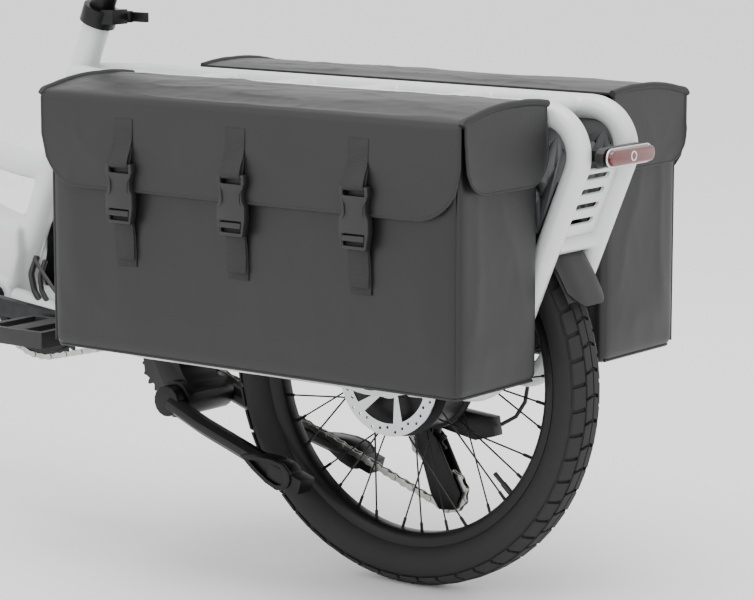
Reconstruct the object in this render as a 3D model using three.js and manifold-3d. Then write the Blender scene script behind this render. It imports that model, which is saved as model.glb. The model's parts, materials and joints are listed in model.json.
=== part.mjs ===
// A compact longtail cargo bicycle with 20 inch wheels, hub motor, rack loop frame and two side bags.
// Millimetres, +X to the front of the bicycle, +Y to its left, +Z up.
// Everything is drawn from the rear axle's place on the ground (x = 0, z = 0) and the whole group is
// then moved so that the origin is on the ground, in the centre plane, half way along the bicycle.
import * as THREE from "three";
import { mergeVertices } from "three/addons/utils/BufferGeometryUtils.js";
import Module from "manifold-3d";

const wasm = await Module();
wasm.setup();

// ---------- driving dimensions ----------
const GAP = 0.4; // clearance between neighbouring pieces
const WHEEL_RADIUS = 254; // 20 inch wheel with a 54 mm tyre
const WHEEL_FACETS = 48; // a multiple of four puts one flat facet of the tread on the ground
const RIM_FACETS = 36;
const WHEELBASE = 1290;
const RIM_INNER_RADIUS = 192;
const RIM_OUTER_RADIUS = 207;
const TYRE_HALF_WIDTH = 28;
const TREAD_HALF_WIDTH = 20;
const SPOKE_COUNT = 36;
const SPOKE_RADIUS = 1.2;

const REAR_HUB_HALF_WIDTH = 67.5;
const REAR_ROTOR_Y = 48;
const ROTOR_RADIUS = 70;
const ROTOR_HALF_THICKNESS = 1;
const MOTOR_FLANGE_RADIUS = 73;
const MOTOR_FLANGE_Y = 26;
const FRONT_HUB_HALF_WIDTH = 50;
const FRONT_ROTOR_Y = 39;

const BB = { x: 638, z: 287 }; // bottom bracket centre
const SEAT_TUBE_LEAN = 0.416; // rearward travel per unit of height
const SEAT_TUBE_RADIUS = 17.5;
const SEAT_TUBE_TOP_Z = 655;
const SEATPOST_RADIUS = 15.8;
const SEATPOST_BORE_RADIUS = 16.3;
const SADDLE_RISE = 205; // saddle clamp above the seat tube's top, along the tube

const HEAD_LEAN = THREE.MathUtils.degToRad(20); // steering axis from the vertical
const FORK_OFFSET = 45;
const FORK_LENGTH = 350; // axle to crown race, along the steering axis
const HEAD_TUBE_LENGTH = 150;
const HEAD_TUBE_RADIUS = 27;
const STEERER_RADIUS = 14.3;

const RAIL_Z = 575.5; // centre line of the two top rails
const RAIL_HALF_GAUGE = 48;
const RAIL_RADIUS = 14;
const LOOP_CORNER_X = -284; // where the rail's and the rear leg's centre lines meet
const LOOP_BEND = 45;
const LEG_LEAN = 0.41; // forward travel per unit of drop
const CROSS_MEMBER_RADIUS = 11;
const CROSS_MEMBER_XS = [-195, -74, 61, 184, 306];
const REAR_CROSSBAR_Z = 426;
const CHAINSTAY_Y = 72;

const BAG = { x0: -223, x1: 368, y0: 66, y1: 221, z0: 276, z1: 579 };
const BAG_WALL = 5;
const BAG_CORNER = 14;
const LID_THICKNESS = 5;
const LID_TOP_Z = 594;
const FLAP_BOTTOM_Z = 475;
const EAR_BOTTOM_Z = 497;
const BUCKLE_XS = [244, 77, -96];

const CHAIN_PITCH = 12.7;
const CHAIN_Y = -47;
const CHAIN_HALF_HEIGHT = 4.2;
const CHAIN_HALF_WIDTH = 4;
const COG = { x: 0, z: WHEEL_RADIUS, teeth: 18 };
const CHAINRING_TEETH = 46;
const IDLER = { x: 425, z: 205, teeth: 17 };
const GUIDE_PULLEY = { x: 9, z: 162, teeth: 11 };
const TENSION_PULLEY = { x: -21, z: 104, teeth: 11 };
const CRANK_LENGTH = 165;
const CRANK_DROP = THREE.MathUtils.degToRad(6); // left crank points to the rear, a little down
const CRANK_Y0 = 68;
const CRANK_Y1 = 82;

const STAND_PIVOT = { x: 332, z: 187 };
const STAND_FOOT = { x: 137, y: 70, z: 124 };

const TAIL_LIGHT_Z = 530;
const TAIL_LIGHT_X = -281; // back of the housing, just behind the rails' bends
const REAR_END_X = -303; // the tail light's lens
const FENDER_RADIUS = 268.5;

// ---------- materials ----------
function paint(color, roughness, metalness) {
  return new THREE.MeshStandardMaterial({ color, roughness, metalness });
}

const white = paint(0xe4e6e5, 0.25, 0);
const blackMetal = paint(0x17181a, 0.45, 0.3);
const blackPlastic = paint(0x222325, 0.55, 0);
const greyPlastic = paint(0x5f6163, 0.6, 0);
const rubber = paint(0x2c2d2e, 0.85, 0);
const steel = paint(0xb9bcbd, 0.3, 1);
const darkSteel = paint(0x55585a, 0.4, 0.8);
const canvas = paint(0x3d3e40, 0.7, 0);
const redLens = paint(0xa81c1c, 0.2, 0);

// ---------- solids ----------
const bicycle = new THREE.Group();

function vector([x, y, z]) {
  return new THREE.Vector3(x, y, z);
}

// The closed solid of a geometry: shared corners merged, triangles with no area dropped.
function solidOf(geometry) {
  const bare = geometry.clone();
  bare.deleteAttribute("normal");
  bare.deleteAttribute("uv");
  const merged = mergeVertices(bare, 1e-3);
  const index = merged.index.array;
  const kept = [];
  for (let i = 0; i < index.length; i += 3) {
    const [a, b, c] = index.subarray(i, i + 3);
    if (a !== b && b !== c && c !== a) kept.push(a, b, c);
  }
  const mesh = new wasm.Mesh({
    numProp: 3,
    vertProperties: merged.attributes.position.array,
    triVerts: new Uint32Array(kept),
  });
  return new wasm.Manifold(mesh);
}

function geometryOf(solid) {
  const mesh = solid.getMesh();
  const geometry = new THREE.BufferGeometry();
  geometry.setAttribute("position", new THREE.BufferAttribute(mesh.vertProperties, 3));
  geometry.setIndex(new THREE.BufferAttribute(mesh.triVerts, 1));
  return geometry;
}

function join(...pieces) {
  return geometryOf(pieces.map(solidOf).reduce((whole, piece) => whole.add(piece)));
}

function cut(piece, ...tools) {
  return geometryOf(tools.map(solidOf).reduce((rest, tool) => rest.subtract(tool), solidOf(piece)));
}

function node(name, geometry, material, parent = bicycle) {
  const mesh = new THREE.Mesh(geometry, material);
  mesh.name = name;
  parent.add(mesh);
  return mesh;
}

// A path of straight runs joined by round bends, with a station only where the direction changes.
class BentPath extends THREE.Curve {
  constructor(corners, bendRadius = 0) {
    super();
    const points = corners.map(vector);
    this.stations = [points[0]];
    for (let i = 1; i < points.length - 1; i += 1) {
      if (bendRadius > 0) this.addBend(points[i - 1], points[i], points[i + 1], bendRadius);
      else this.stations.push(points[i]);
    }
    this.stations.push(points[points.length - 1]);
  }

  addBend(before, corner, after, bendRadius) {
    const into = corner.clone().sub(before).normalize();
    const out = after.clone().sub(corner).normalize();
    const turn = into.angleTo(out);
    const room = 0.45 * Math.min(corner.distanceTo(before), corner.distanceTo(after));
    const setback = Math.min(bendRadius * Math.tan(turn / 2), room);
    const radius = setback / Math.tan(turn / 2);
    const steps = Math.max(1, Math.round(turn / THREE.MathUtils.degToRad(24)));
    const axis = into.clone().cross(out).normalize();
    const start = corner.clone().addScaledVector(into, -setback);
    const spoke = axis.clone().cross(into).multiplyScalar(-radius);
    const centre = start.clone().sub(spoke);
    for (let i = 0; i <= steps; i += 1) {
      this.stations.push(spoke.clone().applyAxisAngle(axis, (turn * i) / steps).add(centre));
    }
  }

  getPoint(t) {
    const last = this.stations.length - 1;
    const place = Math.min(t * last, last);
    const i = Math.min(Math.floor(place), last - 1);
    return this.stations[i].clone().lerp(this.stations[i + 1], place - i);
  }

  getPointAt(t) {
    return this.getPoint(t);
  }

  getTangentAt(t) {
    const last = this.stations.length - 1;
    const i = Math.round(t * last);
    const next = this.stations[Math.min(i + 1, last)];
    const previous = this.stations[Math.max(i - 1, 0)];
    const ahead = next.clone().sub(this.stations[i]).normalize();
    const behind = this.stations[i].clone().sub(previous).normalize();
    return ahead.add(behind).normalize();
  }
}

function sweep(shape, path) {
  const steps = path.stations.length - 1;
  return new THREE.ExtrudeGeometry(shape, { steps, extrudePath: path, curveSegments: 1 });
}

function roundSection(radius, sides) {
  const points = [];
  for (let i = 0; i < sides; i += 1) {
    const angle = (2 * Math.PI * (i + 0.5)) / sides;
    points.push(new THREE.Vector2(radius * Math.cos(angle), radius * Math.sin(angle)));
  }
  return new THREE.Shape(points);
}

function tube(corners, radius, { bend = 0, sides = 12 } = {}) {
  return sweep(roundSection(radius, sides), new BentPath(corners, bend));
}

// A flat plate: an outline of [x, z] points, from y0 to y1.
function plate(outline, y0, y1, holes = []) {
  const shape = new THREE.Shape(outline.map(([x, z]) => new THREE.Vector2(x, z)));
  shape.holes = holes.map((hole) => new THREE.Path(hole.map(([x, z]) => new THREE.Vector2(x, z))));
  const geometry = new THREE.ExtrudeGeometry(shape, { depth: y1 - y0, bevelEnabled: false });
  return geometry.rotateX(Math.PI / 2).translate(0, y1, 0);
}

function box(x0, x1, y0, y1, z0, z1) {
  const geometry = new THREE.BoxGeometry(x1 - x0, y1 - y0, z1 - z0);
  return geometry.translate((x0 + x1) / 2, (y0 + y1) / 2, (z0 + z1) / 2);
}

// A ring turned about an axis along Y through the origin; the closed profile is [radius, y] points.
function turned(profile, segments = 24) {
  const area = profile.reduce((sum, [r, y], i) => {
    const [nextR, nextY] = profile[(i + 1) % profile.length];
    return sum + r * nextY - nextR * y;
  }, 0);
  const ordered = area > 0 ? profile : [...profile].reverse();
  const points = [...ordered, ordered[0]].map(([r, y]) => new THREE.Vector2(r, y));
  return new THREE.LatheGeometry(points, segments, Math.PI / segments);
}

function disc(innerRadius, outerRadius, y0, y1, segments = 24) {
  return turned([[innerRadius, y0], [outerRadius, y0], [outerRadius, y1], [innerRadius, y1]], segments);
}

function rod(start, end, radius, sides = 12) {
  return tube([start, end], radius, { sides });
}

function roundedRectangle(x0, x1, y0, y1, radius, steps = 3) {
  const points = [];
  const centres = [[x1 - radius, y1 - radius], [x0 + radius, y1 - radius],
    [x0 + radius, y0 + radius], [x1 - radius, y0 + radius]];
  centres.forEach(([cx, cy], corner) => {
    for (let i = 0; i <= steps; i += 1) {
      const angle = (Math.PI / 2) * (corner + i / steps);
      points.push([cx + radius * Math.cos(angle), cy + radius * Math.sin(angle)]);
    }
  });
  return points;
}

function arcPoints(radius, fromDegrees, toDegrees, steps, centreX = 0, centreZ = 0) {
  const points = [];
  for (let i = 0; i <= steps; i += 1) {
    const angle = THREE.MathUtils.degToRad(fromDegrees + ((toDegrees - fromDegrees) * i) / steps);
    points.push([centreX + radius * Math.cos(angle), centreZ + radius * Math.sin(angle)]);
  }
  return points;
}

// ---------- places ----------
function seatTubePoint(z, y = 0) {
  return [BB.x - (z - BB.z) * SEAT_TUBE_LEAN, y, z];
}

const steeringUp = [-Math.sin(HEAD_LEAN), Math.cos(HEAD_LEAN)];
const steeringForward = [Math.cos(HEAD_LEAN), Math.sin(HEAD_LEAN)];
const CROWN = {
  x: WHEELBASE - FORK_OFFSET * steeringForward[0] + FORK_LENGTH * steeringUp[0],
  z: WHEEL_RADIUS - FORK_OFFSET * steeringForward[1] + FORK_LENGTH * steeringUp[1],
};

// A point given along and across the steering axis, seen from the crown race.
function steeringPoint(forward, up, y = 0) {
  const x = CROWN.x + forward * steeringForward[0] + up * steeringUp[0];
  const z = CROWN.z + forward * steeringForward[1] + up * steeringUp[1];
  return [x, y, z];
}

function legX(z) {
  return LOOP_CORNER_X + (RAIL_Z - z) * LEG_LEAN;
}

function pitchRadius(teeth) {
  return CHAIN_PITCH / (2 * Math.sin(Math.PI / teeth));
}

// ---------- frame ----------
const headTubeTool = rod(steeringPoint(0, -30), steeringPoint(0, HEAD_TUBE_LENGTH + 30), HEAD_TUBE_RADIUS + 1, 24);
const seatTubeTool = rod(seatTubePoint(BB.z), seatTubePoint(SEAT_TUBE_TOP_Z + 40), SEAT_TUBE_RADIUS + 1, 24);
const shellTool = rod([BB.x, -60, BB.z], [BB.x, 60, BB.z], 22, 24);

function headTube() {
  const outside = rod(steeringPoint(0, 0), steeringPoint(0, HEAD_TUBE_LENGTH), HEAD_TUBE_RADIUS, 24);
  const bore = rod(steeringPoint(0, -5), steeringPoint(0, HEAD_TUBE_LENGTH + 5), STEERER_RADIUS + 2, 16);
  return cut(outside, bore);
}

function seatTube() {
  const outside = rod(seatTubePoint(BB.z), seatTubePoint(SEAT_TUBE_TOP_Z), SEAT_TUBE_RADIUS, 24);
  const shell = rod([BB.x, -36, BB.z], [BB.x, 36, BB.z], 21, 24);
  const shellBore = rod([BB.x, -40, BB.z], [BB.x, 40, BB.z], 15, 16);
  const postBore = rod(seatTubePoint(BB.z + 110), seatTubePoint(SEAT_TUBE_TOP_Z + 5), SEATPOST_BORE_RADIUS, 24);
  return cut(join(outside, shell), shellBore, postBore);
}

function topTube() {
  const start = new THREE.Vector3(...seatTubePoint(453));
  const control = new THREE.Vector3(760, 0, 453);
  const end = vector(steeringPoint(0, 88));
  const curve = new THREE.QuadraticBezierCurve3(start, control, end);
  const corners = curve.getPoints(7).map((p) => [p.x, p.y, p.z]);
  return cut(tube(corners, 18, { sides: 12 }), headTubeTool, seatTubeTool);
}

// The down tube's upper edge leaves the seat tube level and swings up to the head tube.
function downTubeTopEdge(steps) {
  const [endX, , endZ] = steeringPoint(0, 70);
  const curve = new THREE.QuadraticBezierCurve(
    new THREE.Vector2(612, 381),
    new THREE.Vector2(742, 381),
    new THREE.Vector2(endX, endZ),
  );
  return curve.getPoints(steps).map((p) => [p.x, p.y]);
}

const DOWN_TUBE_HALF_WIDTH = 30;
const BAY = { x0: 800, x1: 1050, halfWidth: 24, depth: 56 };

function downTubeBottomZ(x) {
  const [endX, , endZ] = steeringPoint(0, 14);
  return 262 + ((x - 665) * (endZ - 262)) / (endX - 665);
}

// The bay's outline seen from the side, from below the tube's underside up into it.
function bayOutline(margin, below, above) {
  const end = (x, height) => [x - 0.3 * height, downTubeBottomZ(x) + height];
  const x0 = BAY.x0 + margin;
  const x1 = BAY.x1 - margin;
  return [end(x0, below), end(x1, below), end(x1, above), end(x0, above)];
}

function downTube() {
  const [endX, , endZ] = steeringPoint(0, 14);
  const foot = [[640, 262], [618, 300], [612, 340]];
  const outline = [...downTubeTopEdge(8), [endX, endZ], [665, 262], ...foot];
  const outside = plate(outline, -DOWN_TUBE_HALF_WIDTH, DOWN_TUBE_HALF_WIDTH);
  const bay = plate(bayOutline(0, -20, BAY.depth), -BAY.halfWidth, BAY.halfWidth);
  return cut(outside, headTubeTool, seatTubeTool, shellTool, bay);
}

function batteryPack() {
  const outline = bayOutline(0.8, 1, BAY.depth - 1);
  return plate(outline, -BAY.halfWidth + 0.8, BAY.halfWidth - 0.8);
}

// One side of the rack loop: level rail, rear bend, leg, and the run forward to the rear axle.
function loopTube(side, radius, overrun = 0) {
  const corners = [
    [seatTubePoint(RAIL_Z)[0] - 6, side * 14, RAIL_Z],
    [440, side * RAIL_HALF_GAUGE, RAIL_Z],
    [LOOP_CORNER_X, side * RAIL_HALF_GAUGE, RAIL_Z],
    [legX(WHEEL_RADIUS + 2), side * 49, WHEEL_RADIUS + 2],
    [-48 + overrun, side * (CHAINSTAY_Y - 1), WHEEL_RADIUS],
  ];
  return tube(corners, radius, { bend: LOOP_BEND, sides: 12 });
}

// Plate between the rear legs, leaning with them, with four slots across it.
function rearPlate() {
  const halfWidth = RAIL_HALF_GAUGE - RAIL_RADIUS / 2;
  const slots = [-28, -9, 10, 29].map((z) => box(-10, 10, -22, 22, z - 3.5, z + 3.5));
  const flat = cut(box(-2, 2, -halfWidth, halfWidth, -46, 38), ...slots);
  const middleZ = 478;
  return flat.rotateY(-Math.atan(LEG_LEAN)).translate(legX(middleZ), 0, middleZ);
}

function rackFrame() {
  const pieces = [loopTube(1, RAIL_RADIUS), loopTube(-1, RAIL_RADIUS), rearPlate()];
  for (const x of CROSS_MEMBER_XS) {
    pieces.push(rod([x, -RAIL_HALF_GAUGE, RAIL_Z], [x, RAIL_HALF_GAUGE, RAIL_Z], CROSS_MEMBER_RADIUS, 8));
  }
  const x = legX(REAR_CROSSBAR_Z);
  pieces.push(rod([x, -RAIL_HALF_GAUGE, REAR_CROSSBAR_Z], [x, RAIL_HALF_GAUGE, REAR_CROSSBAR_Z], 10, 10));
  return cut(join(...pieces), seatTubeTool);
}

// Chainstay tube, from the bottom bracket out past the cranks and back to the dropout plate.
function chainstay(side) {
  const stay = tube(
    [
      [BB.x - 4, side * 23, 284],
      [548, side * 27, 274],
      [470, side * 48, 262],
      [366, side * CHAINSTAY_Y, WHEEL_RADIUS],
      [34, side * CHAINSTAY_Y, WHEEL_RADIUS],
    ],
    RAIL_RADIUS - 0.5,
    { bend: 160, sides: 12 },
  );
  const dropoutOutline = [[60, 264], [60, 242], [14, 236], [-14, 236], [-52, 244], [-52, 262]];
  const hangerOutline = [[-18, 240], [18, 240], [26, 204], [4, 204]];
  const brakeTabOutline = [[58, 262], [92, 262], [84, 300], [64, 318], [54, 300]];
  const inner = REAR_HUB_HALF_WIDTH + 0.8;
  const [y0, y1] = side > 0 ? [inner, inner + 9] : [-inner - 9, -inner];
  const tab = side > 0 ? plate(brakeTabOutline, 60, 64.6) : plate(hangerOutline, y0, y1);
  const axleHole = rod([0, side * 60, WHEEL_RADIUS], [0, side * 90, WHEEL_RADIUS], 7, 12);
  const loopTool = loopTube(side, RAIL_RADIUS + GAP, GAP);
  const downTubeTool = box(610, 700, -DOWN_TUBE_HALF_WIDTH - GAP, DOWN_TUBE_HALF_WIDTH + GAP, 240, 400);
  const whole = join(stay, plate(dropoutOutline, y0, y1), tab);
  return cut(whole, axleHole, shellTool, seatTubeTool, downTubeTool, loopTool);
}

// Side guard in the corner of the rack loop, its lower edge following the wheel.
function wheelGuard(side) {
  const inset = RAIL_RADIUS + 0.6;
  const setback = LOOP_BEND * Math.tan((Math.PI - Math.atan(1 / LEG_LEAN)) / 2);
  const bend = arcPoints(LOOP_BEND - inset, 90, 200, 6, LOOP_CORNER_X + setback, RAIL_Z - LOOP_BEND);
  const legEdge = (z) => legX(z) + inset * Math.hypot(1, LEG_LEAN);
  const outline = [[150, RAIL_Z - inset], ...bend, [legEdge(438), 438],
    ...arcPoints(278, 138, 62, 8, 0, WHEEL_RADIUS)];
  const y = side * RAIL_HALF_GAUGE;
  return plate(outline, y - 1.5, y + 1.5);
}

// ---------- fenders ----------
function fender(fromDegrees, toDegrees, steps) {
  const section = new THREE.Shape();
  const half = 30;
  const outer = [[-half, 7], [-half + 6, 1], [half - 6, 1], [half, 7]];
  const inner = outer.map(([across, out]) => [across * 0.93, out + 2.4]).reverse();
  [...outer, ...inner].forEach(([across, out], i) => {
    if (i === 0) section.moveTo(across, out);
    else section.lineTo(across, out);
  });
  section.closePath();
  const corners = arcPoints(FENDER_RADIUS, fromDegrees, toDegrees, steps).map(([x, z]) => [x, 0, z]);
  return sweep(section, new BentPath(corners, 0));
}

// ---------- wheels ----------
function tyre() {
  const corner = 1 / Math.cos(Math.PI / WHEEL_FACETS);
  const half = [[RIM_OUTER_RADIUS + 1, 13], [216, 23], [230, TYRE_HALF_WIDTH], [244, 26.5],
    [WHEEL_RADIUS * corner, TREAD_HALF_WIDTH]];
  const profile = [...half.map(([r, y]) => [r, -y]), ...[...half].reverse()];
  return turned(profile, WHEEL_FACETS);
}

function rimWithSpokes(flangeRadius, flangeY, crossDegrees, hubPieces) {
  const rim = turned(
    [[RIM_INNER_RADIUS, -8], [199, -14.5], [RIM_OUTER_RADIUS, -14.5], [RIM_OUTER_RADIUS, 14.5],
      [199, 14.5], [RIM_INNER_RADIUS, 8]],
    RIM_FACETS,
  );
  const spokes = [];
  for (let i = 0; i < SPOKE_COUNT; i += 1) {
    const side = i % 2 === 0 ? 1 : -1;
    const lead = i % 4 < 2 ? crossDegrees : -crossDegrees;
    const rimAngle = THREE.MathUtils.degToRad((360 * i) / SPOKE_COUNT + 5);
    const hubAngle = rimAngle + THREE.MathUtils.degToRad(lead);
    const inner = [flangeRadius * Math.cos(hubAngle), side * flangeY, flangeRadius * Math.sin(hubAngle)];
    const outer = [(RIM_INNER_RADIUS + 3) * Math.cos(rimAngle), side * 3, (RIM_INNER_RADIUS + 3) * Math.sin(rimAngle)];
    spokes.push(rod(inner, outer, SPOKE_RADIUS, 3));
  }
  return join(rim, ...spokes, ...hubPieces);
}

function frontHub() {
  const w = FRONT_HUB_HALF_WIDTH - 2;
  return turned([[6.8, -w], [11, -w], [11, -30], [29, -28], [29, -24], [13, -20], [13, 20], [29, 24], [29, 28],
    [22, 30], [22, w - 13], [11, w - 13], [11, w], [6.8, w]], 12);
}

function hubMotor() {
  const w = REAR_HUB_HALF_WIDTH - 3;
  const flange = MOTOR_FLANGE_RADIUS;
  return turned([[6.8, -35], [20, -35], [58, -32], [68, -28], [flange, -28], [flange, 28], [68, 28], [58, 33],
    [26, 34], [26, REAR_ROTOR_Y - 1.5], [14, REAR_ROTOR_Y - 1.5], [14, w], [6.8, w]], 20);
}

function rotor() {
  const ring = disc(56, ROTOR_RADIUS, -ROTOR_HALF_THICKNESS, ROTOR_HALF_THICKNESS, 24);
  const carrier = disc(14.5, 24, -ROTOR_HALF_THICKNESS, ROTOR_HALF_THICKNESS, 12);
  const arms = [];
  for (let i = 0; i < 6; i += 1) {
    const arm = box(-3, 3, -ROTOR_HALF_THICKNESS, ROTOR_HALF_THICKNESS, 20, 60);
    arms.push(arm.rotateY((Math.PI / 3) * i + 0.3));
  }
  return join(ring, carrier, ...arms);
}

function rearAxle() {
  const rodSolid = rod([0, -84, 0], [0, 84, 0], 6, 12);
  const nuts = [1, -1].map((side) => rod([0, side * 77.8, 0], [0, side * 86, 0], 11, 6));
  const sleeve = rod([0, -67.9, 0], [0, -58, 0], 10, 12);
  return join(rodSolid, ...nuts, sleeve);
}

// ---------- drivetrain ----------
// The closed line of a chain round its wheels, counter-clockwise in x and z. A wheel inside the loop has
// side 1 and one that presses on the loop from outside has side -1; offset shifts the line outwards.
function chainLine(wheels, offset) {
  const radii = wheels.map((wheel) => wheel.side * wheel.radius + offset);
  const headings = wheels.map((wheel, i) => {
    const next = wheels[(i + 1) % wheels.length];
    const nextRadius = radii[(i + 1) % wheels.length];
    const distance = Math.hypot(next.x - wheel.x, next.z - wheel.z);
    const bearing = Math.atan2(next.z - wheel.z, next.x - wheel.x);
    return bearing + Math.asin((radii[i] - nextRadius) / distance);
  });
  const points = [];
  wheels.forEach((wheel, i) => {
    const arriving = headings[(i + wheels.length - 1) % wheels.length];
    let turn = headings[i] - arriving;
    while (turn * wheel.side < 0) turn += 2 * Math.PI * wheel.side;
    const steps = Math.max(2, Math.ceil(Math.abs(turn) / 0.3));
    for (let k = 0; k <= steps; k += 1) {
      const heading = arriving + (turn * k) / steps;
      points.push([wheel.x + radii[i] * Math.sin(heading), wheel.z - radii[i] * Math.cos(heading)]);
    }
  });
  return points;
}

const chainWheels = [
  { x: BB.x, z: BB.z, radius: pitchRadius(CHAINRING_TEETH), side: 1 },
  { x: COG.x, z: COG.z, radius: pitchRadius(COG.teeth), side: 1 },
  { ...GUIDE_PULLEY, radius: pitchRadius(GUIDE_PULLEY.teeth), side: -1 },
  { ...TENSION_PULLEY, radius: pitchRadius(TENSION_PULLEY.teeth), side: 1 },
  { ...IDLER, radius: pitchRadius(IDLER.teeth), side: -1 },
];

function chain() {
  const outside = chainLine(chainWheels, CHAIN_HALF_HEIGHT);
  const inside = chainLine(chainWheels, -CHAIN_HALF_HEIGHT);
  return plate(outside, CHAIN_Y - CHAIN_HALF_WIDTH, CHAIN_Y + CHAIN_HALF_WIDTH, [inside]);
}

// A chain wheel without its teeth, just small enough to run inside the chain's band.
function chainWheel(teeth, boreRadius, halfThickness, segments = 24) {
  const outer = pitchRadius(teeth) - CHAIN_HALF_HEIGHT - 1;
  return disc(boreRadius, outer, -halfThickness, halfThickness, segments);
}

function cassette() {
  const outer = pitchRadius(COG.teeth) - CHAIN_HALF_HEIGHT - 1;
  return turned([[11, -10], [outer, -10], [outer, 5], [outer + 9, 6.8], [outer + 14, 9], [outer + 14, 11], [11, 11]], 24);
}

function crank(side) {
  const direction = side > 0 ? -1 : 1;
  const tip = [direction * CRANK_LENGTH * Math.cos(CRANK_DROP), direction * CRANK_LENGTH * Math.sin(CRANK_DROP)];
  const middleY = side * ((CRANK_Y0 + CRANK_Y1) / 2);
  const arm = box(-CRANK_LENGTH / 2, CRANK_LENGTH / 2, -6.5, 6.5, -11, 11);
  arm.rotateY(-CRANK_DROP).translate(tip[0] / 2, middleY, tip[1] / 2);
  const [y0, y1] = side > 0 ? [CRANK_Y0, CRANK_Y1] : [-CRANK_Y1, -CRANK_Y0];
  const hub = rod([0, y0, 0], [0, y1, 0], 18, 16);
  const eye = rod([tip[0], y0, tip[1]], [tip[0], y1, tip[1]], 14, 12);
  const pieces = [arm, hub, eye];
  if (side < 0) pieces.push(rod([0, -70, 0], [0, CRANK_Y0 - GAP, 0], 12, 12));
  const pedalBore = rod([tip[0], side * 60, tip[1]], [tip[0], side * 90, tip[1]], 6.6, 10);
  return cut(join(...pieces), pedalBore);
}

function pedal(side) {
  const near = CRANK_Y1 + 8;
  const far = near + 92;
  const frameOuter = box(-50, 50, side > 0 ? near : -far, side > 0 ? far : -near, -10, 10);
  const gap = (x0, x1) => box(x0, x1, side > 0 ? near + 8 : -far + 8, side > 0 ? far - 8 : -near - 8, -20, 20);
  const spindle = rod([0, side * (CRANK_Y0 + 1), 0], [0, side * (near + 4), 0], 6, 10);
  return join(cut(frameOuter, gap(-40, -14), gap(14, 40)), spindle);
}

function derailleur() {
  const body = plate([[24, 203], [-10, 203], [-76, 198], [-80, 176], [-52, 168], [-6, 176], [26, 176]], -72, -55);
  const knuckle = rod([14, -80, 190], [14, -58, 190], 13, 12);
  const cageOuter = [[24, 172], [9, 184], [-8, 168], [-42, 104], [-34, 84], [-12, 82], [0, 100]];
  const outerPlate = plate(cageOuter, -58, -54.5);
  const innerPlate = plate(cageOuter, -40, -37);
  const pins = [GUIDE_PULLEY, TENSION_PULLEY].map((p) => rod([p.x, -57, p.z], [p.x, -38, p.z], 4, 10));
  return join(body, knuckle, outerPlate, innerPlate, ...pins);
}

// ---------- kickstand ----------
function kickstandBracket() {
  const bridge = box(352, 388, -53, 53, 262, 271);
  const post = plate([[356, 268], [400, 268], [392, 210], [352, 186], [320, 178], [310, 196], [330, 216]], -30, 30);
  const housing = rod([STAND_PIVOT.x, -43, STAND_PIVOT.z], [STAND_PIVOT.x, 43, STAND_PIVOT.z], 23, 20);
  const bore = rod([STAND_PIVOT.x, -50, STAND_PIVOT.z], [STAND_PIVOT.x, 50, STAND_PIVOT.z], 12.6, 16);
  const arm = plate([[350, 240], [352, 214], [424, 190], [440, 205], [428, 222]], -36, -28);
  const pin = rod([IDLER.x, -56, IDLER.z], [IDLER.x, -30, IDLER.z], 5, 10);
  const pinHead = rod([IDLER.x, -60, IDLER.z], [IDLER.x, -54, IDLER.z], 10, 10);
  return cut(join(bridge, post, housing, arm, pin, pinHead), bore);
}

function kickstandLegs() {
  const shaft = rod([0, -60, 0], [0, 60, 0], 12, 16);
  const foot = [STAND_FOOT.x - STAND_PIVOT.x, STAND_FOOT.z - STAND_PIVOT.z];
  const pieces = [shaft];
  for (const side of [1, -1]) {
    pieces.push(rod([0, side * 44, 0], [0, side * 60, 0], side > 0 ? 19 : 13, 16));
    pieces.push(tube([[-4, side * 54, -2], [foot[0] * 0.3, side * 58, foot[1] * 0.3 - 4],
      [foot[0], side * STAND_FOOT.y, foot[1]]], 11, { bend: 120, sides: 8 }));
    const pad = box(-34, 16, -13, 13, -9, 9);
    pad.rotateY(-Math.atan2(-foot[1], -foot[0])).translate(foot[0], side * STAND_FOOT.y, foot[1]);
    pieces.push(pad);
  }
  return join(...pieces);
}

// ---------- brakes and cables ----------
// Brake caliper round a rotor at its own y = 0, its open side towards the axle.
function caliper() {
  const body = box(-22, 22, -13, 11.2, -16, 16);
  const slot = box(-30, 30, -2.2, 2.2, -30, 9);
  return cut(body, slot);
}

function heldCable(points, radius) {
  const curve = new THREE.CatmullRomCurve3(points.map(vector), false, "centripetal");
  const steps = Math.ceil(curve.getLength() / 21);
  const corners = curve.getSpacedPoints(steps).map((p) => [p.x, p.y, p.z]);
  return tube(corners, radius, { sides: 6 });
}

// Rear brake hose: out of the port at the seat tube's foot and back along the left stay to the caliper.
const REAR_HOSE = [[583, 25, 338], [566, 28, 322], [540, 36, 304], [500, 54, 288], [440, 70, 277], [372, 79, 271.6],
  [240, 80, 271.2], [176, 80, 271], [140, 75, 270.6], [114, 65, 270.6], [97, 56, 279], [86, 50, 294], [70, 48, 304]];

// Gear cable housing: the same port, along the right stay, and a loop round to the derailleur from behind.
const SHIFT_HOUSING = [[583, -25, 338], [566, -28, 322], [540, -36, 304], [500, -54, 288], [440, -70, 277],
  [372, -79, 271.6], [240, -80, 271.2], [60, -80, 271.2], [-20, -83, 271], [-62, -85, 268], [-96, -84, 256],
  [-110, -80, 236], [-106, -76, 212], [-96, -71, 197], [-82, -66, 189]];

// ---------- bags ----------
function bagBody(side) {
  const ys = [side * BAG.y0, side * BAG.y1].sort((a, b) => a - b);
  const outline = roundedRectangle(BAG.x0, BAG.x1, ys[0], ys[1], BAG_CORNER);
  const inside = roundedRectangle(BAG.x0 + BAG_WALL, BAG.x1 - BAG_WALL, ys[0] + BAG_WALL, ys[1] - BAG_WALL,
    BAG_CORNER - BAG_WALL);
  const body = upright(outline, BAG.z0, BAG.z1);
  const pocket = upright(inside, BAG.z0 + BAG_WALL, BAG.z1 + 10);
  return cut(body, pocket);
}

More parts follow.
